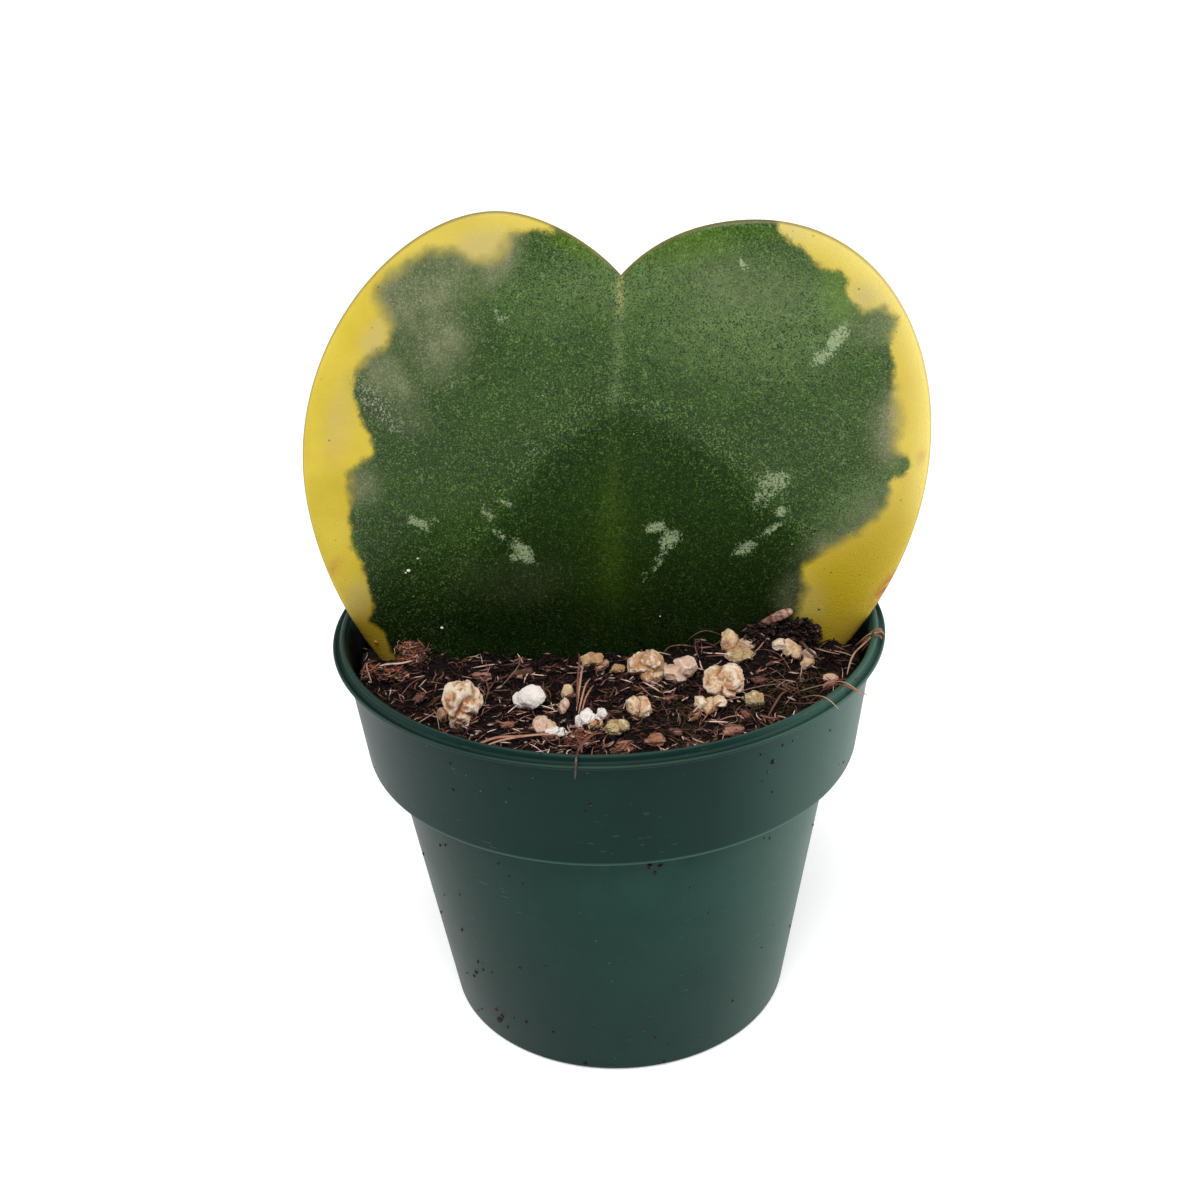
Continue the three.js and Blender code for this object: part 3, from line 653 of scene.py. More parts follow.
# Painted shade: the green darkens towards the bottom of the blade
green = waxy.mix(leaf_z.band(120, 94) * 0.45, green, colour(30, 56, 8))
left_shade = leaf_x.band(10, -4) * leaf_z.band(125, 118) * leaf_z.band(94, 102)
right_shade = leaf_x.band(18, 26) * leaf_z.band(110, 102) * leaf_z.band(84, 92)
green = waxy.mix(left_shade * 0.3, green, colour(26, 50, 8))
green = waxy.mix(right_shade * 0.3, green, colour(26, 50, 8))
green = waxy.mix(margin * 0.55, green, colour(56, 78, 36))
green = waxy.mix(waxy.attribute("bright") * 0.9, green, colour(72, 104, 4))
# Painted sheen, with some wax bloom, over the upper blade
green = waxy.mix(bloom_and_sheen * 0.7, green, colour(96, 120, 68))
rib_line = rib.band(1.6, 0.2) * (0.15 + grit * 0.4) * leaf_z.band(60, 90)
green = waxy.mix(rib_line, green, colour(112, 134, 84))
under_notch = leaf_z.band(120, 126.5) * leaf_z.band(131, 128)
rib_spot = rib.band(1.0, 0.0) * under_notch * cells.band(0.3, 0.5)
green = waxy.mix(rib_spot * 0.6, green, colour(172, 168, 104))
# Painted reflection: the arch is painted dark where the glossy blade reflects dark surroundings
green = waxy.mix(arch * 0.88, green, colour(20, 44, 2))
# Painted shade: the green turns near black towards the mix
green = waxy.mix(low * 0.92, green, colour(7, 12, 4))
green = waxy.mix(rib.band(9, 0) * leaf_z.band(112, 82) * leaf_z.band(67, 80) * 0.4, green, colour(50, 70, 6))
green = waxy.mix(rib.band(3, 0) * leaf_z.band(112, 88) * leaf_z.band(68, 82) * 0.3, green, colour(72, 98, 14))
lit = (1 - arch * 0.3) * (1 - low * 0.45) * (1 - veil * 0.75) * (1 + arch_border * 0.9)
# Pale speckle of the skin, brightened as painted glints that give the blade its gloss, fewer where it is
# painted dark
speckle_and_glints = flecks.band(0.49, 0.62) * lit * (0.26 + grit.band(0.42, 0.62) * 0.5)
green = waxy.mix(speckle_and_glints, green, waxy.mix(arch, colour(110, 136, 76), colour(90, 120, 58)))
shadow = pits.band(0.5, 0.4) * (0.55 + grit.band(0.6, 0.4) * 0.45 + arch_border * 0.3)
shadow = shadow * (1 - veil * 0.6) * (1 - waxy.attribute("bright") * 0.5)
green = waxy.mix(shadow, green, colour(15, 33, 3))
green = waxy.mix(cells.band(0.6, 0.42) * 0.18, green, colour(26, 50, 12))
haze = waxy.noise(0.24, detail=5.0, roughness=0.7, place=waxy.stretched(1.0, 1.0, 0.6))
veil_grey = waxy.mix(haze.band(0.3, 0.7), colour(90, 100, 68), colour(126, 128, 94))
green = waxy.mix(veil * (0.56 + haze.band(0.35, 0.6) * 0.28 + flecks * 0.12), green, veil_grey)
green = waxy.mix(veil * pits.band(0.5, 0.4) * 0.4, green, colour(60, 66, 42))
green = waxy.mix(veil * flecks.band(0.5, 0.62) * 0.35, green, colour(152, 154, 124))
blade_skin = waxy.mix(green_share, yellow, green)

deposit = waxy.attribute("deposit")
strokes = waxy.noise(1.7, detail=5.0, roughness=0.8, distortion=0.9)
crust = (deposit * 1.2 + (strokes - 0.5) * 4.2).band(0.76, 0.84) * deposit.band(0.12, 0.25)
crust = crust * (0.25 + flecks.band(0.36, 0.5) * 0.75)
blade_skin = waxy.mix(crust * 0.85, blade_skin, colour(152, 168, 126))
sparkle = waxy.attribute("sparkle")
blade_skin = waxy.mix(sparkle * 0.45, blade_skin, colour(84, 92, 66))
glints = (flecks * 0.6 + grit * 0.4).band(0.52, 0.57) * sparkle
blade_skin = waxy.mix(glints * 0.65, blade_skin, colour(160, 166, 136))
blade_skin = waxy.mix(pits.band(0.46, 0.42) * sparkle * 0.8, blade_skin, colour(14, 20, 10))
pale_dots = waxy.spots(0.55, 0.085, 0.22) * green_share
blade_skin = waxy.mix(pale_dots * 0.4, blade_skin, colour(140, 164, 116))
blade_skin = waxy.mix(waxy.spots(0.4, 0.075, 0.4) * 0.75, blade_skin, colour(26, 28, 14))
rim = waxy.attribute("rim")
pale_edge = rim.band(4, 0.5) * leaf_x.band(10, 40) * leaf_z.band(84, 98) * (1 - green_share)
blade_skin = waxy.mix(pale_edge * 0.4, blade_skin, colour(226, 210, 130))
# A thin darker line along the margin: partly the edge's own brown, partly painted shade where the rounded
# edge turns away
blade_skin = waxy.mix(rim.band(0.45, 0.05) * 0.7, blade_skin, colour(116, 100, 54))
underside = waxy.mix(green_share, colour(214, 200, 120), colour(92, 122, 72))
blade_skin = waxy.mix(back * 0.8, blade_skin, underside)
waxy.bump(flecks * 0.8 + pits * 0.8 + cells * 0.5 + crust * 0.5, 0.1)
gloss = (1 - arch * 0.85) * (1 - low * 0.9) * 0.24
waxy.paint(Base_Color=blade_skin, Roughness=0.3 + flecks * 0.1 + crust * 0.3 + back * 0.2, Coat_Weight=gloss)
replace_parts(finished(blade, "hoya_blade", waxy.material), "hoya_leaf")

# Crumbs of the mix: thousands of small lumps of peat and bark dust, 0.3 to
# 1.5 mm across, lying on the top of the mix all round the leaf. They are loose
# in the real pot and are one piece here.
CRUMBS = 8940
CRUMB_SIZES = (0.3, 1.3)
CRUMB_LIFTS = (-0.1, 0.7)
CRUMB_REACH = 40.9
LEAF_CLEARANCE = 1.9
LEAF_REACH_IN_MIX = 40
# Heaps against the leaf. Each has its middle, half its width, depth and height, and its crumbs
HEAPS = [
    ((31.2, -5.6, 68.6), (3.2, 1.3, 3.1), 390),
    ((25.6, -5.1, 68.8), (3.9, 1.1, 2.5), 340),
    ((35.2, -6.4, 65.4), (2.4, 1.4, 1.2), 90),
    ((-32.2, -3.0, 65.0), (3.4, 1.4, 1.0), 60),
    ((-38.0, -6.5, 64.8), (2.6, 2.4, 1.2), 120),
]
HEAP_CRUMB_SIZES = (0.5, 1.5)
HEAP_SHADE = 0.86


def clear_of_leaf(x, y, z, room=0.0):
    """True where a place on the mix is outside the blade that stands in it."""
    across, off_plane, _ = leaf_unplacing @ Vector((x, y, z))
    off_blade = abs(off_plane + blade_cup(across))
    return abs(across) > LEAF_REACH_IN_MIX or off_blade > LEAF_CLEARANCE + room


def place_on_mix(draw, reach, room=0.0):
    """A random place on the mix that is clear of the leaf."""
    while True:
        radius, angle = reach * math.sqrt(draw.random()), draw.uniform(0, math.tau)
        x, y = radius * math.cos(angle), radius * math.sin(angle)
        if clear_of_leaf(x, y, mix_height(x, y), room):
            return x, y


def seed_mesh(made):
    """A small mesh, with its colour and shade on each point, to be copied many times."""
    made.verts.layers.float.new("shade")
    made.verts.layers.float_color.new("tint")
    mesh = bpy.data.meshes.new("seed")
    made.to_mesh(mesh)
    made.free()
    return mesh


def add_copy(made, seed, put, shade, tint=(1, 1, 1, 1)):
    """Adds a copy of a seed mesh with each point where put() sends it."""
    made.from_mesh(seed)
    made.verts.ensure_lookup_table()
    shades, tints = made.verts.layers.float["shade"], made.verts.layers.float_color["tint"]
    for vert in made.verts[-len(seed.vertices):]:
        vert.co = put(vert.co)
        vert[shades] = shade
        vert[tints] = tint


def ball_seed(fineness):
    ball = bmesh.new()
    bmesh.ops.create_icosphere(ball, subdivisions=fineness, radius=1)
    return seed_mesh(ball)


def stretched_by(co, form):
    return Vector([along * half for along, half in zip(co, form)])


def torn_lump(draw, middle, turn, form):
    """Sends a ball of radius 1 to a torn lump. The form is half the lump's size each way."""
    tear = Vector((draw.uniform(0, 99), 0, 0))
    return lambda co: middle + turn @ stretched_by(co, form) * (1 + 0.5 * noise.noise(co * 1.7 + tear))


def crumb_put(draw, x, y, size, lift):
    turn = Matrix.Rotation(draw.uniform(0, math.tau), 3, "Z")
    turn = turn @ Matrix.Rotation(draw.uniform(-0.9, 0.9), 3, "X")
    form = Vector((size * draw.uniform(0.8, 1.3), size * draw.uniform(0.25, 0.5),
                   size * draw.uniform(0.2, 0.45))) / 2
    return torn_lump(draw, Vector((x, y, top_of_mix(x, y) + lift)), turn, form)


def share_of(value, ends):
    """How far a value lies between two ends, from 0 to 1."""
    return (value - ends[0]) / (ends[1] - ends[0])


def scattered(draw):
    """A random step that favours no direction."""
    return Vector((draw.gauss(0, 1), draw.gauss(0, 1), draw.gauss(0, 1)))


crumb_seed = ball_seed(1)
crumbs = bmesh.new()
draw = random.Random(7)
for _ in range(CRUMBS):
    size = CRUMB_SIZES[0] + (CRUMB_SIZES[1] - CRUMB_SIZES[0]) * draw.random() ** 2.2
    x, y = place_on_mix(draw, CRUMB_REACH)
    lift = draw.uniform(*CRUMB_LIFTS)
    put = crumb_put(draw, x, y, size, lift)
    # The shade mixes a random tone with painted shade: crumbs lying lower are painted darker, the highest
    # paler
    add_copy(crumbs, crumb_seed, put, (draw.random() + share_of(lift, CRUMB_LIFTS)) / 2)
for (heap_x, heap_y, heap_z), (half_width, half_depth, half_height), count in HEAPS:
    for _ in range(count):
        offset = scattered(draw).normalized() * draw.random() ** 0.4
        x, y = heap_x + offset.x * half_width, heap_y + offset.y * half_depth
        lift = heap_z + offset.z * half_height - top_of_mix(x, y)
        put = crumb_put(draw, x, y, draw.uniform(*HEAP_CRUMB_SIZES), lift)
        add_copy(crumbs, crumb_seed, put, draw.random() * HEAP_SHADE)
dust = Finish("peat_crumb", Specular_IOR_Level=0.2)
crumb_shade = dust.attribute("shade")
crumb_grit = dust.noise(3.0, detail=3.0)
# Dark to pale brown by the shade; the near-white crumbs are painted highlights on the highest ones
brown = dust.mix(crumb_shade.band(0.4, 0.85), colour(4, 3, 3), colour(56, 33, 27))
brown = dust.mix(crumb_shade.band(0.78, 0.88) * 0.6, brown, colour(142, 96, 80))
brown = dust.mix(crumb_shade.band(0.9, 0.95) * 0.8, brown, colour(226, 194, 172))
# Painted shadow of the leaf: crumbs near and behind the blade are painted darker
brown = dust.mix(dust.axes()[1].band(-9, -3) * 0.35, brown, colour(6, 4, 4))
brown = dust.mix(crumb_grit.band(0.54, 0.68) * 0.45, brown, colour(136, 96, 80))
brown = dust.mix(crumb_grit.band(0.46, 0.3) * 0.6, brown, colour(14, 8, 8))
dust.bump(crumb_grit, 0.15)
dust.paint(Base_Color=brown, Roughness=0.5 + crumb_grit * 0.35)
finished(crumbs, "peat_crumbs", dust.material)

# Coir fibres: thin, bent strands from coconut husk, 1 to 8 mm long, matted over
# the whole top of the mix. They are drawn along short curves and stay loose.
FIBRES = 7200
FIBRE_RADII = (0.06, 0.15)
FIBRE_LIFTS = (0.1, 1.3)
FIBRE_CUTS = 3
FIBRE_REACH = 40.4
STRAND_LIMIT = 41.2


def curve_through(points, share):
    """A place on the smooth curve through some points, at a share of its way."""
    spot = min(share, 0.9999) * (len(points) - 1)
    number = int(spot)
    part = spot - number
    before, start = points[max(0, number - 1)], points[number]
    end, after = points[number + 1], points[min(len(points) - 1, number + 2)]
    bend = ((2 * before - 5 * start + 4 * end - after) * part
            + (3 * (start - end) + after - before) * part * part)
    return start + ((end - before) + bend) * part / 2


def fibre_put(points, radius, flat=1.0):
    """Sends a straight unit tube along a curve, thinner towards its ends."""
    def put(co):
        here = curve_through(points, co.x)
        ahead = curve_through(points, co.x + 0.02) - curve_through(points, max(0.0, co.x - 0.02))
        beside = ahead.cross(Vector((0, 0, 1))).normalized()
        over = beside.cross(ahead).normalized()
        thin = radius * (1 - 0.75 * abs(2 * co.x - 1) ** 3)
        return here + (beside * co.y + over * co.z * flat) * thin
    return put


def loose_strand(draw, x, y, length, heading, wander, lift):
    """Four points of a nearly straight strand that leans on the mix."""
    points = []
    slope = draw.gauss(0, 0.5) + 0.2 * length * draw.uniform(-1, 1)
    for along in (-0.5, -0.17, 0.17, 0.5):
        heading += draw.uniform(-wander, wander)
        px, py = x + math.cos(heading) * along * length, y + math.sin(heading) * along * length
        reach = math.hypot(px, py)
        if reach > STRAND_LIMIT:
            px, py = px * STRAND_LIMIT / reach, py * STRAND_LIMIT / reach
        points.append(Vector((px, py, top_of_mix(x, y) + lift + slope * along)))
    return points


def straight_tube(sides, cuts):
    """A closed tube of radius 1, from 0 to 1 along X, cut across into short lengths."""
    tube = bmesh.new()
    bmesh.ops.create_cone(tube, cap_ends=True, segments=sides, radius1=1, radius2=1, depth=1,
                          matrix=Matrix.Translation((0.5, 0, 0)) @ Matrix.Rotation(math.pi / 2, 4, "Y"))
    long_edges = [edge for edge in tube.edges if abs(edge.verts[0].co.x - edge.verts[1].co.x) > 0.5]
    bmesh.ops.subdivide_edges(tube, edges=long_edges, cuts=cuts)
    return tube


fibre_seed = seed_mesh(straight_tube(3, FIBRE_CUTS))
fibres = bmesh.new()
draw = random.Random(23)
for _ in range(FIBRES):
    x, y = place_on_mix(draw, FIBRE_REACH, room=0.3)
    swirl = 4 * noise.noise(Vector((x * 0.12, y * 0.12, 5)))
    heading = swirl + draw.gauss(0, 1.0)
    length = 0.8 + 2.2 * draw.random() ** 1.3 + 5 * draw.random() ** 16
    lift = draw.uniform(*FIBRE_LIFTS)
    strand = loose_strand(draw, x, y, length, heading, draw.choice((0.1, 0.25, 0.6)), lift)
    put = fibre_put(strand, draw.uniform(*FIBRE_RADII))
    # The shade mixes a random tone with painted shade: fibres lying lower are painted darker, the highest
    # paler
    add_copy(fibres, fibre_seed, put, (draw.random() + share_of(lift, FIBRE_LIFTS)) / 2)
coir = Finish("coir_fibre", Specular_IOR_Level=0.25)
fibre_shade = coir.attribute("shade")
streak = coir.noise(1.2, detail=3.0)
husk = coir.mix(fibre_shade.band(0.34, 0.62), colour(5, 3, 3), colour(64, 36, 29))
husk = coir.mix(fibre_shade.band(0.63, 0.8), husk, colour(156, 106, 90))
# The palest fibres, near white, are painted highlights on the highest strands
husk = coir.mix(fibre_shade.band(0.79, 0.87) * 0.9, husk, colour(240, 206, 188))
# Painted shadow of the leaf: fibres near and behind the blade are painted darker
husk = coir.mix(coir.axes()[1].band(-8, -2) * 0.22, husk, colour(8, 5, 5))
husk = coir.mix(streak.band(0.5, 0.65) * 0.7, husk, colour(30, 18, 16))
olive = coir.noise(0.07, detail=2.0).band(0.48, 0.6) * coir.axes()[0].band(2, 14)
husk = coir.mix(olive * 0.4, husk, colour(92, 80, 46))
coir.bump(streak, 0.05)
coir.paint(Base_Color=husk, Roughness=0.45 + streak * 0.25)
finished(fibres, "coir_fibres", coir.material)

# Straws and roots: the longer, paler strands that stand out on the mix, some
# arched against the leaf and some hanging over the rim. Each lies where it is
# pushed in or caught.
STRAWS = 110
STRAW_RADII = (0.06, 0.13)
STRAW_CUTS = 14
STRAW_REACH = 38.5
STRAW_FLATNESS = 0.7
TAN = colour(180, 142, 118)
PALE = colour(210, 182, 156)
RUST = colour(150, 86, 66)
UMBER = colour(120, 70, 58)
COPPER = colour(178, 106, 78)
CLAY = colour(168, 112, 92)
BROWN = colour(104, 68, 56)
ORANGE = colour(168, 116, 90)
GREY = colour(118, 98, 92)
DARK_ROOT = colour(62, 42, 34)
# Each strand: its colour, its radius, and the points that it passes
STRANDS = [
    (BROWN, 0.09, [(12.6, -2.6, 66.4), (13.8, -3.2, 68), (16, -3.2, 68.8), (19.2, -3.2, 67.4),
                   (22.4, -3.6, 65.6)]),
    (BROWN, 0.1, [(18.3, -2.8, 70.2), (18.8, -3, 68), (17.8, -3.4, 66.6), (15.6, -3.8, 65.8)]),
    (TAN, 0.1, [(21.6, -3.6, 68.6), (23.8, -3.6, 69.9), (26, -3.8, 70.4), (28, -4, 71)]),
    (PALE, 0.22, [(-39, -4.6, 64.6), (-36.6, -5.2, 65.8), (-33.6, -5.2, 66), (-30.5, -3.4, 66)]),
    (BROWN, 0.11, [(-33.6, -13.4, 64.3), (-31.8, -10.5, 65.2), (-29.8, -7.4, 64.6)]),
    (GREY, 0.11, [(-15, -3.4, 65), (-14.6, -6.4, 65.9), (-15.4, -9.6, 66), (-17.4, -12.2, 65)]),
    (ORANGE, 0.3, [(-21.6, -28.9, 64), (-17.8, -28, 65), (-14, -28, 65.1), (-9.8, -26.2, 64.4)]),
    (TAN, 0.2, [(-20.4, -29.9, 64.2), (-17, -28.8, 65), (-12, -27.6, 65), (-8.6, -26.8, 64.4)]),
    (UMBER, 0.16, [(-5, -4.2, 66), (-4.9, -8.2, 66.9), (-5.2, -14.4, 66.8), (-5.4, -20.6, 65.4)]),
    (TAN, 0.18, [(-4.3, -6.6, 65.4), (-4.6, -11.2, 66.4), (-5, -16.4, 66.3), (-5.5, -20.8, 65)]),
    (TAN, 0.15, [(-3.2, -11.4, 65.4), (-4, -15.4, 66.4), (-4.6, -19, 66.2), (-5.2, -21.8, 65)]),
    (CLAY, 0.15, [(-2.7, -13.4, 65.2), (-3.4, -16.8, 66.2), (-4.2, -19.6, 66), (-4.8, -22.6, 65)]),
    (PALE, 0.1, [(4.6, -3.4, 64.9), (7.4, -3.6, 65.4), (10.2, -3.8, 64.8)]),
    (BROWN, 0.13, [(8.6, -3.4, 64.6), (9.8, -3.2, 66), (12, -3.4, 66.4), (14.4, -3.6, 66)]),
    (BROWN, 0.24, [(19.4, -2.8, 67), (21.6, -4, 66.4), (23.6, -5.4, 66.3), (25, -6, 65.8)]),
    (BROWN, 0.1, [(20.6, -7, 65.6), (24.4, -6.8, 66.9), (27.4, -8.5, 66.6), (29, -11.4, 64.8)]),
    (GREY, 0.1, [(18.6, -17, 64.6), (23.3, -16.6, 65.7), (28, -14.4, 64.8)]),
    (TAN, 0.2, [(37.6, -12.4, 64.8), (38.9, -10, 67), (40.9, -9.9, 69.2), (42.9, -10.6, 72)]),
    (ORANGE, 0.28, [(40.2, -3.8, 65.2), (41.2, -6.6, 68), (42.4, -9.6, 71.2), (43, -11.4, 72.2)]),
    (ORANGE, 0.24, [(40.4, -5, 65), (41.4, -7.6, 68.4), (42.6, -10.6, 71.6), (43.2, -12.8, 72)]),
    (RUST, 0.22, [(40.8, -5.8, 65), (41.6, -9, 68.6), (42.4, -12, 71.4), (42.6, -13.8, 71.8)]),
    (PALE, 0.12, [(40.4, -4, 65.4), (41.4, -8, 69.4), (42.8, -12.2, 72.2)]),
    (TAN, 0.12, [(29.6, -17, 64.8), (32.4, -19.6, 67.2), (34.8, -25.8, 71.2), (37.2, -30.6, 71.5)]),
    (RUST, 0.15, [(32.8, -17.8, 65), (34.2, -23.6, 69.6), (35.6, -28.6, 71.7), (38, -29.8, 71)]),
    (TAN, 0.1, [(29.2, -19.6, 65), (30.4, -26.4, 69.4), (31.6, -31.2, 71.6), (33.2, -32.4, 70.4)]),
    (BROWN, 0.1, [(26, -20, 64.8), (31, -23.4, 66.4), (35.6, -22.6, 68.4), (37.8, -24.4, 71.6)]),
    (UMBER, 0.26, [(-1.4, -27.2, 64.6), (-3, -30, 66.2), (-4.6, -37, 68.9), (-5.3, -43.6, 71.4)]),
    (DARK_ROOT, 0.16, [(-4.9, -41, 70.4), (-5.3, -43.8, 71.5), (-5.5, -45.2, 70.2), (-5.7, -44.2, 67.6)]),
    (DARK_ROOT, 0.34, [(30.6, -7.6, 68.4), (30.9, -8.8, 68.9), (31.8, -10.2, 68.2), (33.6, -11, 66.8)]),
    (UMBER, 0.2, [(-6.6, -27.4, 64.4), (-5.4, -31, 66.2), (-4.8, -37.6, 69.2), (-4.6, -42.6, 71)]),
    (BROWN, 0.2, [(23.6, -24.2, 64.4), (26.1, -19.9, 65.8), (27.8, -16.6, 64.6)]),
    (BROWN, 0.24, [(-38.2, -2.6, 65.2), (-39.8, -5, 65.8), (-40.3, -8.2, 64.6)]),
    (TAN, 0.12, [(-39.6, -3.4, 65.4), (-39.4, -6.4, 66.2), (-38.4, -9.6, 65)]),
    (RUST, 0.14, [(13.6, -24.6, 64.4), (16.4, -20.6, 65.2), (20.4, -17.6, 64.4)]),
]

straw_seed = seed_mesh(straight_tube(6, STRAW_CUTS))
straws = bmesh.new()
draw = random.Random(31)
for tint, radius, points in STRANDS:
    put = fibre_put([Vector(point) for point in points], radius, STRAW_FLATNESS)
    add_copy(straws, straw_seed, put, draw.random(), tint)
for _ in range(STRAWS):
    x, y = place_on_mix(draw, STRAW_REACH, room=0.5)
    length = draw.uniform(2.5, 7.5)
    strand = loose_strand(draw, x, y, length, draw.uniform(0, math.tau), 0.25, draw.uniform(0.5, 1.2))
    tint = draw.choice((TAN, BROWN, BROWN, BROWN, CLAY))
    put = fibre_put(strand, draw.uniform(*STRAW_RADII), STRAW_FLATNESS)
    add_copy(straws, straw_seed, put, draw.random(), tint)
straw = Finish("straw_and_root", Specular_IOR_Level=0.4)
grain_lines = straw.noise(1.6, detail=4.0, roughness=0.6)
stalk = straw.attribute("tint", "Color")
stalk = straw.mix(grain_lines.band(0.5, 0.75) * 0.55, stalk, colour(88, 50, 38))
stalk = straw.mix(grain_lines.band(0.45, 0.25) * 0.3, stalk, colour(220, 190, 156))
straw.bump(grain_lines, 0.08)
straw.paint(Base_Color=stalk, Roughness=0.45 + grain_lines * 0.25)
finished(straws, "straws_and_roots", straw.material)

# Rust tufts: four knots of curled husk, three by the foot of the left lobe and
# one under the strand that hangs over the rim. Each is a ball of short curls.
CURL_RADII = (0.07, 0.15)
CURL_SPREAD = 0.24
# Each tuft: its middle, half its width, depth and height, and how many curls it has
TUFTS = [
    ((-32.2, -3.8, 66.9), (2.4, 1.3, 2.2), 170),
    ((-4.9, -29.8, 65.6), (2.2, 2.2, 1.2), 90),
    ((-38.2, -6.4, 65.2), (2.2, 2.2, 1.1), 70),
    ((-34.6, -7.4, 65.2), (2.4, 2.0, 0.9), 60),
]
tufts = bmesh.new()
draw = random.Random(47)
for middle, spread, curls in TUFTS:
    for _ in range(curls):
        heart = scattered(draw).normalized() * draw.uniform(0.5, 0.9)
        points = []
        for _ in range(4):
            knot = heart + scattered(draw) * CURL_SPREAD
            points.append(Vector([a + b * c for a, b, c in zip(middle, spread, knot)]))
        tint = draw.choice((CLAY, COPPER, COPPER, RUST, TAN, PALE, UMBER, UMBER, DARK_ROOT))
        add_copy(tufts, fibre_seed, fibre_put(points, draw.uniform(*CURL_RADII)), draw.random(), tint)
finished(tufts, "rust_tufts", straw.material)

# Bark chips: small torn bits of pine bark with a grain along them, which lie on
# the mix. A ringed twig lies among them and leans on the blade to the right.
CINNAMON = colour(156, 106, 80)
ROSE = colour(158, 112, 96)
TWIG_END = colour(206, 158, 138)
# Each chip: x, y, its lift over the mix, length, width, thickness, heading, tilt in degrees and colour
CHIPS = [
    (1.3, -30.6, 0.3, 3.6, 2.6, 1.2, 20, 5, CINNAMON),
    (6.2, -29.6, 0.3, 3.0, 2.2, 1.0, -15, 8, CINNAMON), (18.2, -27.6, 0.3, 3.4, 1.9, 1.0, 30, -6, ROSE),
    (-1.3, -5.2, 0.4, 2.4, 1.5, 0.8, 40, 12, TAN), (-9.5, -26.4, 0.3, 2.6, 1.3, 0.8, 12, 0, ROSE),
    (-14.4, -7.2, 0.3, 3.4, 1.2, 0.7, 15, 8, BROWN), (-20.8, -7.6, 0.3, 3.0, 1.6, 0.9, -20, 6, ROSE),
    (12.6, -22.4, 0.3, 2.8, 1.4, 0.8, 55, 5, CINNAMON), (23.6, -12.4, 0.3, 2.6, 1.3, 0.8, -35, 8, BROWN),
    (34.6, -14.6, 0.3, 2.2, 1.2, 0.8, 25, 10, ROSE), (-30.4, -13.6, 0.3, 2.6, 1.3, 0.8, 60, 8, BROWN),
    (9.4, -26.4, 0.3, 2.2, 1.4, 0.9, -50, 10, BROWN), (-16.2, -22.8, 0.2, 2.4, 1.1, 0.7, 30, -8, CINNAMON),
    (8.6, 14.2, 0.3, 4.2, 2.2, 1.1, 40, 8, CINNAMON), (-18.4, 20.6, 0.3, 3.6, 1.8, 1.0, -30, 6, ROSE),
    (24.6, 19.4, 0.3, 3.2, 2.0, 1.0, 70, 8, BROWN), (-6.4, 31.2, 0.3, 3.8, 1.6, 0.9, 10, 5, ROSE),
]
LOOSE_CHIPS = 40
CHIP_REACH = 39
# The ringed twig: the points that it passes, its radius and how many rings it has
TWIG_POINTS = [(24.0, -4.9, 70.3), (25.8, -5.0, 71.1), (27.6, -5.0, 72.0), (29.7, -5.0, 72.8)]
TWIG_RADIUS = 0.88
TWIG_RINGS = 7


def noise_shift(draw):
    """Where a piece starts in the noise, so that no two pieces are alike."""
    return Vector((draw.uniform(0, 50), draw.uniform(0, 50), draw.uniform(0, 50)))


def chip_put(draw, x, y, lift, length, width, thickness, heading, tilt):
    """A torn, ridged bar that narrows unevenly towards its ends."""
    turn = Matrix.Rotation(heading, 3, "Z") @ Matrix.Rotation(-tilt, 3, "Y")
    middle = Vector((x, y, mix_height(x, y) + lift))
    salt = noise_shift(draw)

    def put(co):
        torn = 1 + 0.45 * noise.noise(Vector((co.x * 1.6, co.y * 0.8, co.z * 0.8)) + salt)
        ridge = 1 + 0.3 * noise.noise(Vector((co.x * 0.5, co.y * 3.2, co.z * 3.2)) - salt)
        ridge *= 1 - 0.35 * abs(co.x) ** 2
        rough = 1 + 0.35 * noise.noise(co * 4 + salt)
        bar = Vector((co.x * length * torn, co.y * width * ridge * rough,
                      co.z * thickness * ridge * rough)) / 2
        return middle + turn @ bar
    return put


def block_seed(chamfer, cuts):
    """A block with chamfered edges, and with its faces cut into a grid where there are cuts."""
    block = bmesh.new()
    bmesh.ops.create_cube(block, size=2)
    bmesh.ops.bevel(block, geom=block.edges[:], offset=chamfer, offset_type="OFFSET", affect="EDGES",
                    segments=1, profile=0.5, material=-1)
    if cuts:
        bmesh.ops.subdivide_edges(block, edges=block.edges[:], cuts=cuts, use_grid_fill=True)
    return seed_mesh(block)


def twig_ring(co):
    """Near 1 on a ring of the twig, and 0 in the groove between two."""
    return abs(math.sin(co.x * TWIG_RINGS * math.pi + noise.noise(co * 1.5)))


chip_seed = block_seed(0.22, 4)
small_chip_seed = block_seed(0.3, 0)
chips = bmesh.new()
draw = random.Random(61)
for x, y, lift, length, width, thickness, heading, tilt, tint in CHIPS:
    put = chip_put(draw, x, y, lift, length, width, thickness, math.radians(heading), math.radians(tilt))
    add_copy(chips, chip_seed, put, draw.random(), tint)
for _ in range(LOOSE_CHIPS):
    x, y = place_on_mix(draw, CHIP_REACH, room=1.0)
    length = draw.uniform(1.0, 2.4)
    put = chip_put(draw, x, y, draw.uniform(0, 0.4), length, length * draw.uniform(0.3, 0.7), length * 0.25,
                   draw.uniform(0, math.tau), draw.gauss(0, 0.25))
    add_copy(chips, small_chip_seed, put, draw.random(),
             draw.choice((BROWN, BROWN, UMBER, DARK_ROOT, ROSE, TAN)))
twig = straight_tube(14, 6 * TWIG_RINGS - 1)
for vert in twig.verts:
    swell = 0.6 + 0.36 * vert.co.x + 0.1 * twig_ring(vert.co) ** 0.5 + 0.3 * noise.noise(vert.co * 2.6)
    vert.co.y *= swell
    vert.co.z *= swell
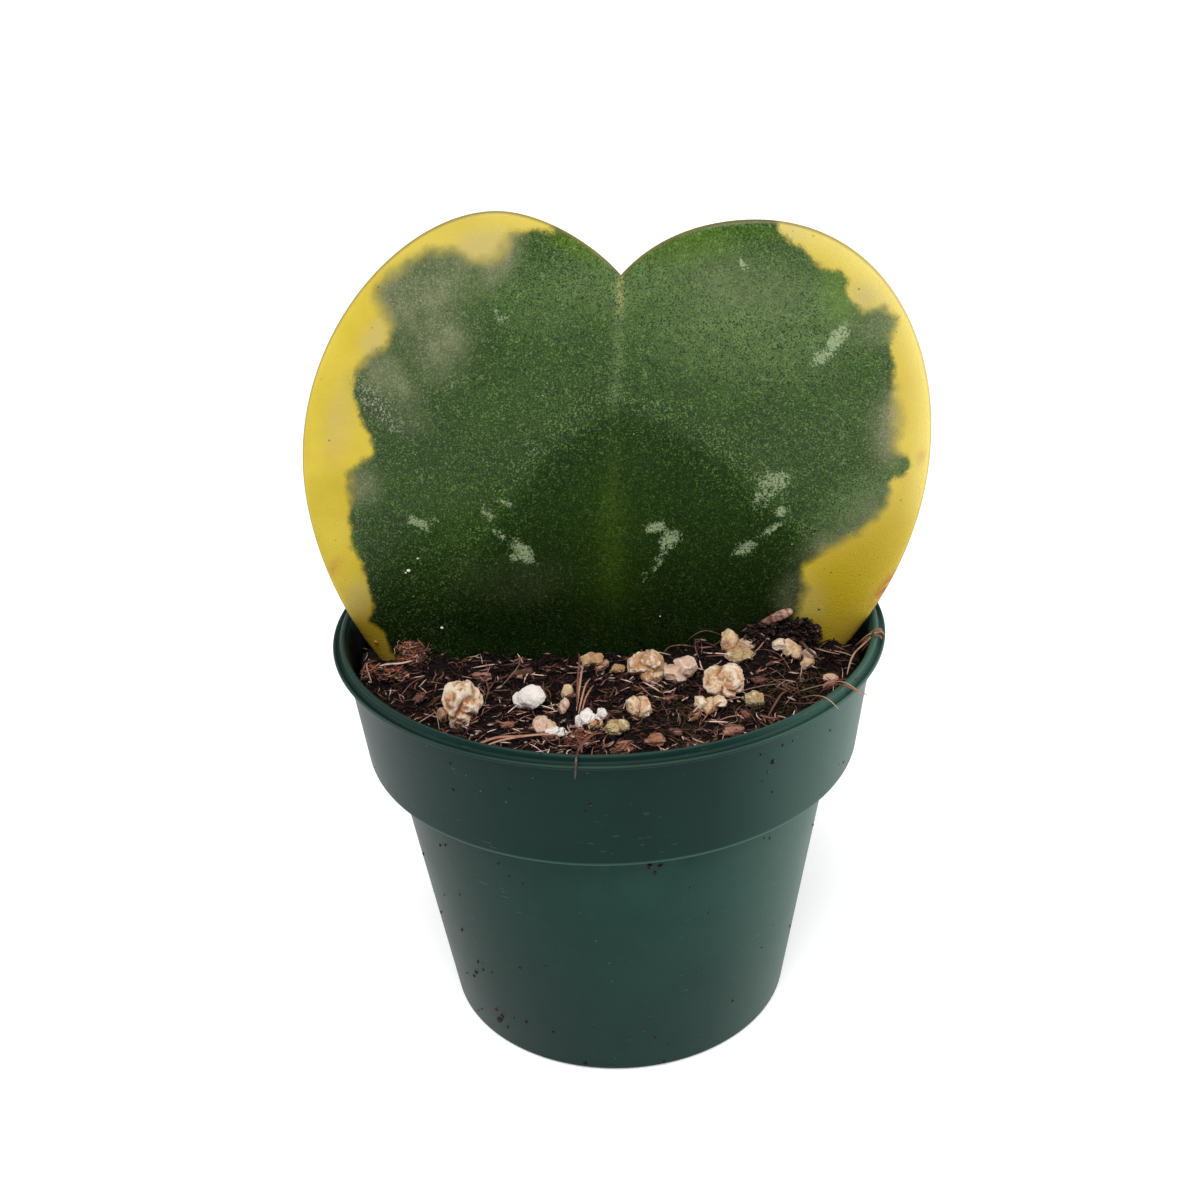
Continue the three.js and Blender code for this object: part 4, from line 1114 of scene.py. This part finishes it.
twig_seed = seed_mesh(twig)
add_copy(chips, twig_seed, fibre_put([Vector(point) for point in TWIG_POINTS], TWIG_RADIUS), 0.5)
tints = chips.verts.layers.float_color["tint"]
for vert, straight in zip(chips.verts[-len(twig_seed.vertices):], twig_seed.vertices):
    paler = Vector(BROWN).lerp(Vector(TWIG_END), straight.co.x ** 2)
    vert[tints] = paler.lerp(Vector(DARK_ROOT), (1 - twig_ring(straight.co)) ** 2)
bark = Finish("torn_bark", Specular_IOR_Level=0.3)
rings = bark.noise(1.1, detail=4.0, roughness=0.7, place=bark.stretched(0.6, 2.6, 2.6))
crust_spots = bark.noise(1.9, detail=4.0, roughness=0.7)
shard = bark.attribute("tint", "Color")
shard = bark.mix(rings.band(0.5, 0.62) * 0.75, shard, colour(58, 32, 24))
shard = bark.mix(rings.band(0.44, 0.34) * 0.5, shard, colour(222, 186, 154))
shard = bark.mix(crust_spots.band(0.58, 0.7) * 0.6, shard, colour(40, 24, 20))
bark.bump(rings + crust_spots * 0.6, 0.2)
bark.paint(Base_Color=shard, Roughness=0.55 + crust_spots * 0.3)
finished(chips, "bark_chips", bark.material)

# Perlite grains: white to tan lumps of puffed volcanic glass, about 2 to 7 mm
# across, with a pitted skin and rusty stains. They are sunk a little in the mix.
CREAM = colour(231, 198, 160)
WHITE = colour(250, 244, 238)
PINK = colour(228, 192, 168)
IVORY = colour(240, 224, 200)
SAND = colour(202, 162, 118)
MOSS = colour(190, 170, 122)
# Each grain: x, y, width, height, colour, how stained it is, how flat its breaks are, its turn in
# degrees, and its lobes as side, depth, height and radius in shares of half its width
GRAINS = [
    (-23.0, -19.9, 6.4, 8.4, CREAM, 0.9, 0.45, 0,
     [(-0.15, 0, 0.3, 0.7), (0.3, 0, 0.1, 0.6), (0.0, -0.1, -0.4, 0.62)]),
    (-26.0, -20.2, 2.4, 2.6, TAN, 0.8, 0.3, 20, [(0, 0, 0.2, 0.8), (0.1, 0, -0.3, 0.6)]),
    (-12.9, -16.8, 5.4, 4.2, WHITE, 0.1, 0.95, 10, [(0.15, 0, 0.1, 0.85), (-0.35, 0, -0.2, 0.6)]),
    (-7.0, -13.6, 2.1, 2.6, CREAM, 0.2, 0.4, 0, [(0, 0, 0, 0.95)]),
    (-7.5, -19.2, 1.9, 2.8, PINK, 0.2, 0.5, 18, [(0.1, 0, 0.4, 0.6), (-0.1, 0, -0.3, 0.6)]),
    (-10.4, -24.2, 3.8, 2.6, PINK, 0.4, 0.6, 0, [(-0.3, 0, 0.1, 0.7), (0.35, 0, -0.05, 0.6)]),
    (-8.7, -25.4, 3.6, 1.3, WHITE, 0.1, 0.5, 6,
     [(-0.4, 0, 0, 0.45), (0.1, 0, 0.1, 0.5), (0.5, 0, 0, 0.5)]),
    (-4.2, -22.6, 3.2, 3.4, WHITE, 0.1, 0.7, 30,
     [(0, 0, 0.2, 0.7), (-0.35, 0, -0.35, 0.5), (0.4, 0, 0.45, 0.4)]),
    (-1.8, -21.4, 2.4, 2.6, WHITE, 0.15, 0.7, -35, [(0.3, 0, 0.1, 0.6), (-0.35, 0, 0, 0.55)]),
    (-2.6, -23.8, 2.6, 1.9, SAND, 0.9, 0.3, 40, [(0.2, 0, 0.35, 0.65), (-0.2, 0, -0.2, 0.6)]),
    (-3.0, -4.9, 4.0, 2.6, SAND, 0.3, 0.4, 0, [(-0.2, 0, 0, 0.75), (0.45, 0, 0, 0.55)]),
    (1.2, -6.4, 2.6, 1.4, SAND, 0.6, 0.4, 0, [(0, 0, 0, 0.9)]),
    (6.0, -8.4, 6.6, 5.2, SAND, 0.5, 0.35, -8,
     [(-0.3, 0, 0.1, 0.7), (0.25, 0, 0.15, 0.7), (0.1, -0.3, -0.3, 0.55), (0.5, 0, -0.1, 0.5)]),
    (7.2, -9.6, 3.4, 2.8, CREAM, 0.2, 0.3, -5, [(0, 0, 0, 0.9), (0.4, 0, -0.1, 0.6)]),
    (11.3, -10.2, 5.6, 4.0, PINK, 0.15, 0.75, -8,
     [(-0.25, 0, -0.2, 0.72), (0.25, 0, 0.2, 0.66), (0.4, 0, -0.2, 0.5)]),
    (17.7, -15.0, 6.6, 5.8, CREAM, 1.0, 0.45, 0,
     [(0.3, 0, 0.3, 0.66), (-0.3, 0, 0.05, 0.72), (0.15, 0, -0.25, 0.74), (0.45, 0, 0, 0.55)]),
    (15.3, -19.6, 5.2, 2.8, CREAM, 0.6, 0.4, 10,
     [(-0.5, 0, 0.2, 0.42), (0, 0, -0.1, 0.55), (0.5, 0, 0.2, 0.42)]),
    (4.2, -20.0, 4.2, 4.0, CREAM, 0.95, 0.3, 45,
     [(0.3, 0, 0.2, 0.68), (-0.35, 0, -0.2, 0.6), (0, 0, -0.4, 0.4)]),
    (0.6, -25.3, 4.0, 3.0, MOSS, 0.6, 0.2, 0,
     [(-0.2, 0, 0.1, 0.7), (0.35, 0, 0.25, 0.56), (-0.4, 0, -0.3, 0.5)]),
    (19.8, -4.7, 3.4, 4.2, CREAM, 0.6, 0.6, 0,
     [(-0.1, 0, 0.15, 0.8), (0.25, 0, -0.3, 0.7), (-0.2, 0, -0.3, 0.7)]),
    (22.6, -5.2, 3.0, 2.0, PINK, 0.5, 0.3, 0, [(0, 0, 0, 0.9)]),
    (21.2, -6.9, 5.4, 2.5, MOSS, 0.6, 0.4, 14,
     [(-0.6, 0, -0.1, 0.34), (-0.25, 0, 0, 0.5), (0.2, 0, 0.05, 0.52), (0.6, 0, 0.1, 0.36)]),
    (27.4, -7.0, 2.4, 2.1, IVORY, 0.3, 0.6, 30, [(0, 0, 0.1, 0.85), (0.2, 0, -0.2, 0.7)]),
    (29.4, -7.6, 3.5, 3.2, CREAM, 0.4, 0.5, 0, [(-0.2, 0, 0.1, 0.75), (0.3, 0, -0.25, 0.65)]),
    (32.0, -7.4, 2.9, 2.1, PINK, 0.3, 0.7, 20, [(0, 0, 0.1, 0.85), (0.3, 0, -0.2, 0.5)]),
    (31.6, -9.8, 2.4, 2.2, CREAM, 0.3, 0.6, 0, [(0.1, 0, 0.1, 0.75), (-0.3, 0, -0.2, 0.6)]),
    (22.3, -18.9, 3.2, 3.6, MOSS, 0.6, 0.3, 30, [(-0.2, 0, 0.2, 0.75), (0.2, 0, -0.25, 0.7)]),
    (35.0, -12.6, 2.6, 1.3, PINK, 0.6, 0.3, 20, [(0, 0, 0, 0.9)]),
    (39.0, -13.4, 1.8, 1.3, TAN, 0.6, 0.3, 0, [(0, 0, 0, 0.9)]),
]
GRIT_GRAINS = 90
GRIT_REACH = 39
BACK_GRAINS = 16
GRAIN_SUNK = 0.2
GRAIN_BREAKS = 11
LEAST_REACH = 0.35
SMOOTHINGS = 6


def grain_put(draw, seed, x, y, width, height, flat, turn, lobes):
    """A lump made of overlapping lobes, cut by flat breaks, pitted, and sized to its width and height."""
    spin = Matrix.Rotation(math.radians(turn), 3, "Y") @ Matrix.Rotation(draw.uniform(-0.3, 0.3), 3, "Z")
    knobs = []
    for side, near, high, radius in lobes:
        heart = Vector((side, near, high))
        breaks = []
        for _ in range(GRAIN_BREAKS):
            facing = scattered(draw).normalized()
            breaks.append((facing, radius * draw.uniform(0.62, 0.95) + heart.dot(facing)))
        knobs.append((heart, radius, breaks))
    salt = noise_shift(draw)

    def lump(co):
        reach = 0.0
        for heart, radius, breaks in knobs:
            toward = heart.dot(co)
            inside = radius * radius - heart.length_squared + toward * toward
            if inside > 0:
                knob = toward + math.sqrt(inside)
                for facing, limit in breaks:
                    if facing.dot(co) > 0.05:
                        knob = min(knob, limit / facing.dot(co))
                reach = max(reach, knob)
        rough = (0.13 - 0.08 * flat) * noise.fractal(co * 2.4 + salt, 0.6, 2.0, 5)
        return spin @ (co * max(reach, LEAST_REACH) * (1 + rough))

    shell = [lump(vert.co) for vert in seed.vertices]
    lows = [min(point[axis] for point in shell) for axis in range(3)]
    highs = [max(point[axis] for point in shell) for axis in range(3)]
    sizes = (width, (width + height) / 2, height)
    scales = [size / (high - low) for size, low, high in zip(sizes, lows, highs)]
    middle = Vector((x, y, mix_height(x, y) + height * (0.5 - GRAIN_SUNK)))

    placed = {}
    for vert, point in zip(seed.vertices, shell):
        sized = [(part - (low + high) / 2) * scale
                 for part, low, high, scale in zip(point, lows, highs, scales)]
        placed[tuple(vert.co)] = middle + Vector(sized)
    return lambda co: placed[tuple(co)]


grain_seed = ball_seed(5)
back_grain_seed = ball_seed(4)
grains = bmesh.new()
draw = random.Random(5)
rises = grains.verts.layers.float.new("rise")
for x, y, width, height, tint, stain, flat, turn, lobes in GRAINS:
    put = grain_put(draw, grain_seed, x, y, width, height, flat, turn, lobes)
    add_copy(grains, grain_seed, put, stain, tint)
    for vert in grains.verts[-len(grain_seed.vertices):]:
        vert[rises] = (vert.co.z - mix_height(x, y)) / height
for number in range(BACK_GRAINS):
    angle = math.pi * (0.06 + 0.88 * (number + draw.random() * 0.8) / BACK_GRAINS)
    reach = 12 + 24 * math.sqrt(draw.random())
    width = draw.uniform(2, 5.5)
    x, y = math.cos(angle) * reach, 5 + math.sin(angle) * reach * 0.9
    lobes = [(draw.uniform(-0.5, 0.5), draw.uniform(-0.4, 0.4), draw.uniform(-0.2, 0.3),
              draw.uniform(0.45, 0.7)) for _ in range(4)]
    tint = draw.choice((CREAM, WHITE, PINK, SAND, MOSS))
    height = width * draw.uniform(0.5, 0.8)
    put = grain_put(draw, back_grain_seed, x, y, width, height, draw.uniform(0.2, 0.8),
                    draw.uniform(-30, 30), lobes)
    add_copy(grains, back_grain_seed, put, draw.uniform(0, 0.7), tint)
for _ in range(GRIT_GRAINS):
    x, y = place_on_mix(draw, GRIT_REACH, room=0.5)
    put = crumb_put(draw, x, y, draw.uniform(0.6, 1.4), 0.5)
    add_copy(grains, crumb_seed, put, draw.uniform(0, 0.7), draw.choice((CREAM, PINK, SAND)))
# How far each point stands out from the smoothed lump: ridges get a painted highlight, pits a brown of stain
# and painted shade
places = [vert.co.copy() for vert in grains.verts]
grains.verts.index_update()
around = [[edge.other_vert(vert).index for edge in vert.link_edges] for vert in grains.verts]
for _ in range(SMOOTHINGS):
    places = [sum((places[number] for number in ring), Vector()) / len(ring) for ring in around]
grains.normal_update()
reliefs = grains.verts.layers.float.new("relief")
for vert, smoothed in zip(grains.verts, places):
    vert[reliefs] = (vert.co - smoothed).dot(vert.normal)
perlite = Finish("stained_perlite", Specular_IOR_Level=0.4)
stain = perlite.attribute("shade")
relief = perlite.attribute("relief")
stain_clouds = perlite.noise(0.35, detail=4.0, roughness=0.65)
pores = perlite.noise(2.4, detail=4.0, roughness=0.75)
stone = perlite.attribute("tint", "Color")
stone = perlite.mix(stain_clouds.band(0.46, 0.58) * stain * 0.8, stone, colour(204, 142, 92))
stone = perlite.mix(stain_clouds.band(0.44, 0.34) * stain * 0.7, stone, colour(156, 116, 84))
stone = perlite.mix(pores.band(0.45, 0.3) * (0.1 + stain * 0.5), stone, colour(118, 80, 58))
# Pits are painted darker brown, part stain and part painted shade; ridges get a painted highlight
stone = perlite.mix(relief.band(0.02, -0.05) * (0.2 + stain * 0.5), stone, colour(128, 82, 54))
stone = perlite.mix(relief.band(0.06, 0.16) * 0.6, stone, colour(250, 240, 226))
# The foot of each grain is painted darker brown: part soil stain, part painted shade where it meets the mix
stone = perlite.mix(perlite.attribute("rise").band(0.16, -0.06) * 0.6, stone, colour(96, 66, 50))
perlite.bump(pores + stain_clouds * 0.5, 0.35)
perlite.paint(Base_Color=stone, Roughness=0.6 + pores * 0.3)
finished(grains, "perlite_grains", perlite.material)

# Soil specks: crumbs of the mix that have stuck to the outside of the pot since
# it was filled. Each is pressed flat against the wall.
# Each speck: its heading in degrees, its height and its size
SPECKS = [
    (-82.4, 46.5, 1.1), (-81.2, 44.9, 0.8), (-80, 46.3, 0.9), (-83.6, 47.2, 0.6), (-133.7, 5.2, 1.3),
    (-137.8, 17.6, 0.7), (-136.2, 16.3, 0.6), (-140.6, 14.2, 0.8), (-142.8, 12.5, 0.6),
    (-120.1, 21.5, 0.5), (-121.8, 8.2, 0.6), (-112.4, 7.8, 0.5), (-139.2, 42.8, 0.6),
    (-120.6, 44.3, 0.5), (-118, 42.3, 0.4), (-48.7, 44.4, 0.5), (-51, 45.2, 0.4), (-57, 63.9, 0.8),
    (-58, 62.4, 0.5), (-54.9, 66.3, 0.5), (-54.7, 68.2, 0.4), (-52.2, 66.2, 0.4), (-95.1, 61.9, 0.6),
    (-124.2, 65.4, 0.5), (-114.3, 41.4, 0.4), (-53.4, 10, 0.5), (-99.2, 5, 0.4), (-80.3, 7.3, 0.5),
    (-138.2, 32.5, 0.5), (-141.9, 41.8, 0.5), (-124.7, 60.4, 0.5), (-142.5, 23.2, 0.6),
    (-132.2, 6.6, 0.8), (-134.6, 7.4, 0.7), (-130.6, 4.4, 0.6), (-103, 1.2, 0.7), (-77, 0.9, 0.6),
    (-160, 33, 0.7), (-158, 21, 0.6), (-20, 36, 0.7), (-22, 15, 0.6),
]
STRAY_SPECKS = 90


def speck_put(draw, heading, height, size):
    radius = band_radius(height) if height > SHOULDER_HEIGHT else body_radius(height)
    turn = Matrix.Rotation(heading, 3, "Z")
    form = Vector((size * 0.22, size * draw.uniform(0.35, 0.6), size * draw.uniform(0.3, 0.6)))
    return torn_lump(draw, turn @ Vector((radius + size * 0.06, 0, height)), turn, form)


specks = bmesh.new()
draw = random.Random(83)
for heading, height, size in SPECKS:
    put = speck_put(draw, math.radians(heading), height, size)
    add_copy(specks, crumb_seed, put, draw.uniform(0.05, 0.6))
for _ in range(STRAY_SPECKS):
    height = draw.choice((draw.uniform(1, 48), draw.uniform(52, 68)))
    put = speck_put(draw, draw.uniform(0, math.tau), height, draw.uniform(0.15, 0.45))
    add_copy(specks, crumb_seed, put, draw.uniform(0.05, 0.7))
finished(specks, "soil_specks", dust.material)

# Marks on the blade: dry mineral grains and peat dust that splashed onto it, and
# one amber bead of sap near the mix. They stick to the waxy skin.
AMBER = colour(176, 104, 36)
DARK = colour(44, 34, 22)
CHALK = colour(226, 230, 216)
DULL = colour(150, 166, 130)
# Each mark: across, up, size and colour
MARKS = [
    (-31.6, 81.2, 0.9, CHALK), (-32.1, 80.8, 0.5, CHALK), (-29.9, 83.4, 0.5, CHALK),
    (-27.2, 70.1, 0.8, CHALK), (-38.4, 67.7, 1.0, AMBER), (34.2, 73.1, 0.5, DARK),
    (8.6, 71.6, 0.4, CHALK), (-33.4, 109.4, 0.6, DARK),
]
STRAY_MARKS = 26


def on_blade(across, up):
    """A place on the upper face of the blade, before the leaf is put in the pot."""
    off = across - midrib_across(up)
    groove = MIDRIB_GROOVE * math.exp(-(off / MIDRIB_HALF_WIDTH) ** 2)
    return Vector((across, groove - blade_cup(off) - BLADE_THICKNESS / 2, up - LEAF_FOOT.z))


def mark_put(draw, across, up, size):
    middle = on_blade(across, up)
    form = Vector((size * draw.uniform(0.35, 0.5), size * 0.2, size * draw.uniform(0.35, 0.5)))
    return lambda co: leaf_placing @ (middle + stretched_by(co, form))


marks_on_blade = bmesh.new()
draw = random.Random(97)
stray_marks = [(draw.uniform(-36, 40), draw.uniform(72, 128), draw.uniform(0.15, 0.32),
                draw.choice((DULL, DULL, DARK))) for _ in range(STRAY_MARKS)]
for across, up, size, tint in MARKS + stray_marks:
    add_copy(marks_on_blade, crumb_seed, mark_put(draw, across, up, size), 0.0, tint)
flecked = Finish("dry_mark", Specular_IOR_Level=0.5)
mark_grain = flecked.noise(3.0, detail=2.0)
mark_colour = flecked.attribute("tint", "Color")
mark_colour = flecked.mix(mark_grain.band(0.55, 0.7) * 0.3, mark_colour, colour(120, 110, 90))
flecked.bump(mark_grain, 0.05)
flecked.paint(Base_Color=mark_colour, Roughness=0.4 + mark_grain * 0.2)
finished(marks_on_blade, "blade_marks", flecked.material)

# Petiole and roots: the leaf's short stalk and the five main roots that hold it
# in the mix. They grew as one with the blade and are hidden by the mix.
PETIOLE_RADIUS = 2.1
PETIOLE_POINTS = [(0, 0, 44), (-0.3, 0.2, 36), (-0.2, 0.8, 29), (0.4, 1.2, 22)]
ROOT_RADIUS = 0.7
ROOTS = 5
ROOT_SPREAD = 13
ROOT_DROP = 9
stalks = bmesh.new()
draw = random.Random(101)
foot_lift = Vector((0, 0, LEAF_FOOT.z))
petiole = [leaf_placing @ (Vector(point) - foot_lift) for point in PETIOLE_POINTS]
add_copy(stalks, straw_seed, fibre_put(petiole, PETIOLE_RADIUS), 0.5, colour(150, 146, 86))
for root in range(ROOTS):
    angle = math.tau * (root + 0.2) / ROOTS
    reach = ROOT_SPREAD * (1 - 0.12 * (root % 3))
    drop = ROOT_DROP * (1 - 0.15 * (root % 2))
    points = []
    for out, rise in ((0, 2), (0.35, -1.5), (0.7, -4.5), (1, -drop)):
        side = Vector((math.cos(angle), math.sin(angle), 0)) * reach * out
        points.append(leaf_placing @ (Vector(PETIOLE_POINTS[-1]) + side + Vector((0, 0, rise)) - foot_lift))
    add_copy(stalks, straw_seed, fibre_put(points, ROOT_RADIUS), draw.random(), colour(206, 190, 150))
finished(stalks, "petiole_and_roots", straw.material)

# Floor, light and camera: a white sweep under soft studio light, seen from the
# photograph's place, a little above the rim and tilted down.
CAMERA_PLACE = Vector((-1.23, -238.25, 193.48)) * 0.001
CAMERA_DOWN = math.radians(26.73)
CAMERA_ROLL = math.radians(-2.138)
LENS = 48.93
FLOOR_SIZE = 6.0
LIT_POINT = (0, 0, 0.05)

white = Finish("white_floor")
unevenness = white.noise(0.004, detail=2.0)
white.paint(Base_Color=white.mix(unevenness, colour(238, 238, 238), colour(242, 242, 242)),
            Emission_Color=colour(255, 255, 255), Emission_Strength=0.28, Roughness=0.85)
sweep = bmesh.new()
bmesh.ops.create_grid(sweep, x_segments=4, y_segments=4, size=FLOOR_SIZE)
floor_mesh = bpy.data.meshes.new("studio_floor")
sweep.to_mesh(floor_mesh)
sweep.free()
floor_mesh.materials.append(white.material)
studio_floor = bpy.data.objects.new("studio_floor", floor_mesh)
bpy.context.scene.collection.objects.link(studio_floor)

world = bpy.data.worlds.new("studio")
bpy.context.scene.world = world
world.use_nodes = True
world.node_tree.nodes["Background"].inputs["Color"].default_value = (1.0, 1.0, 1.0, 1.0)
world.node_tree.nodes["Background"].inputs["Strength"].default_value = 0.45
bpy.context.scene.view_settings.view_transform = "Standard"


def softbox(name, place, target, width, height, watts):
    lamp = bpy.data.lights.new(name, "AREA")
    lamp.shape = "RECTANGLE"
    lamp.size = width
    lamp.size_y = height
    lamp.energy = watts
    box = bpy.data.objects.new(name, lamp)
    box.location = place
    box.rotation_euler = (Vector(target) - Vector(place)).to_track_quat("-Z", "Y").to_euler()
    bpy.context.scene.collection.objects.link(box)


softbox("right_box", (0.6, 0.0, 0.2), LIT_POINT, 0.5, 0.4, 3.4)
softbox("left_box", (-0.6, 0.0, 0.2), LIT_POINT, 0.5, 0.4, 1.3)
ceiling = bpy.data.lights.new("ceiling_light", "SUN")
ceiling.energy = 2.2
ceiling.angle = math.radians(30)
ceiling_box = bpy.data.objects.new("ceiling_light", ceiling)
ceiling_box.rotation_euler = Vector((0.12, 0.55, -1)).to_track_quat("-Z", "Y").to_euler()
bpy.context.scene.collection.objects.link(ceiling_box)

forward = Vector((0, math.cos(CAMERA_DOWN), -math.sin(CAMERA_DOWN)))
level_up = Vector((0, math.sin(CAMERA_DOWN), math.cos(CAMERA_DOWN)))
right = Vector((1, 0, 0)) * math.cos(CAMERA_ROLL) + level_up * math.sin(CAMERA_ROLL)
camera_up = right.cross(forward)
camera = bpy.data.objects.new("camera", bpy.data.cameras.new("camera"))
camera.data.lens = LENS
camera.data.sensor_width = 36
camera.data.clip_start = 0.01
camera.data.clip_end = 50
camera.matrix_world = Matrix((right, camera_up, -forward)).transposed().to_4x4()
camera.location = CAMERA_PLACE
bpy.context.scene.collection.objects.link(camera)
bpy.context.scene.camera = camera
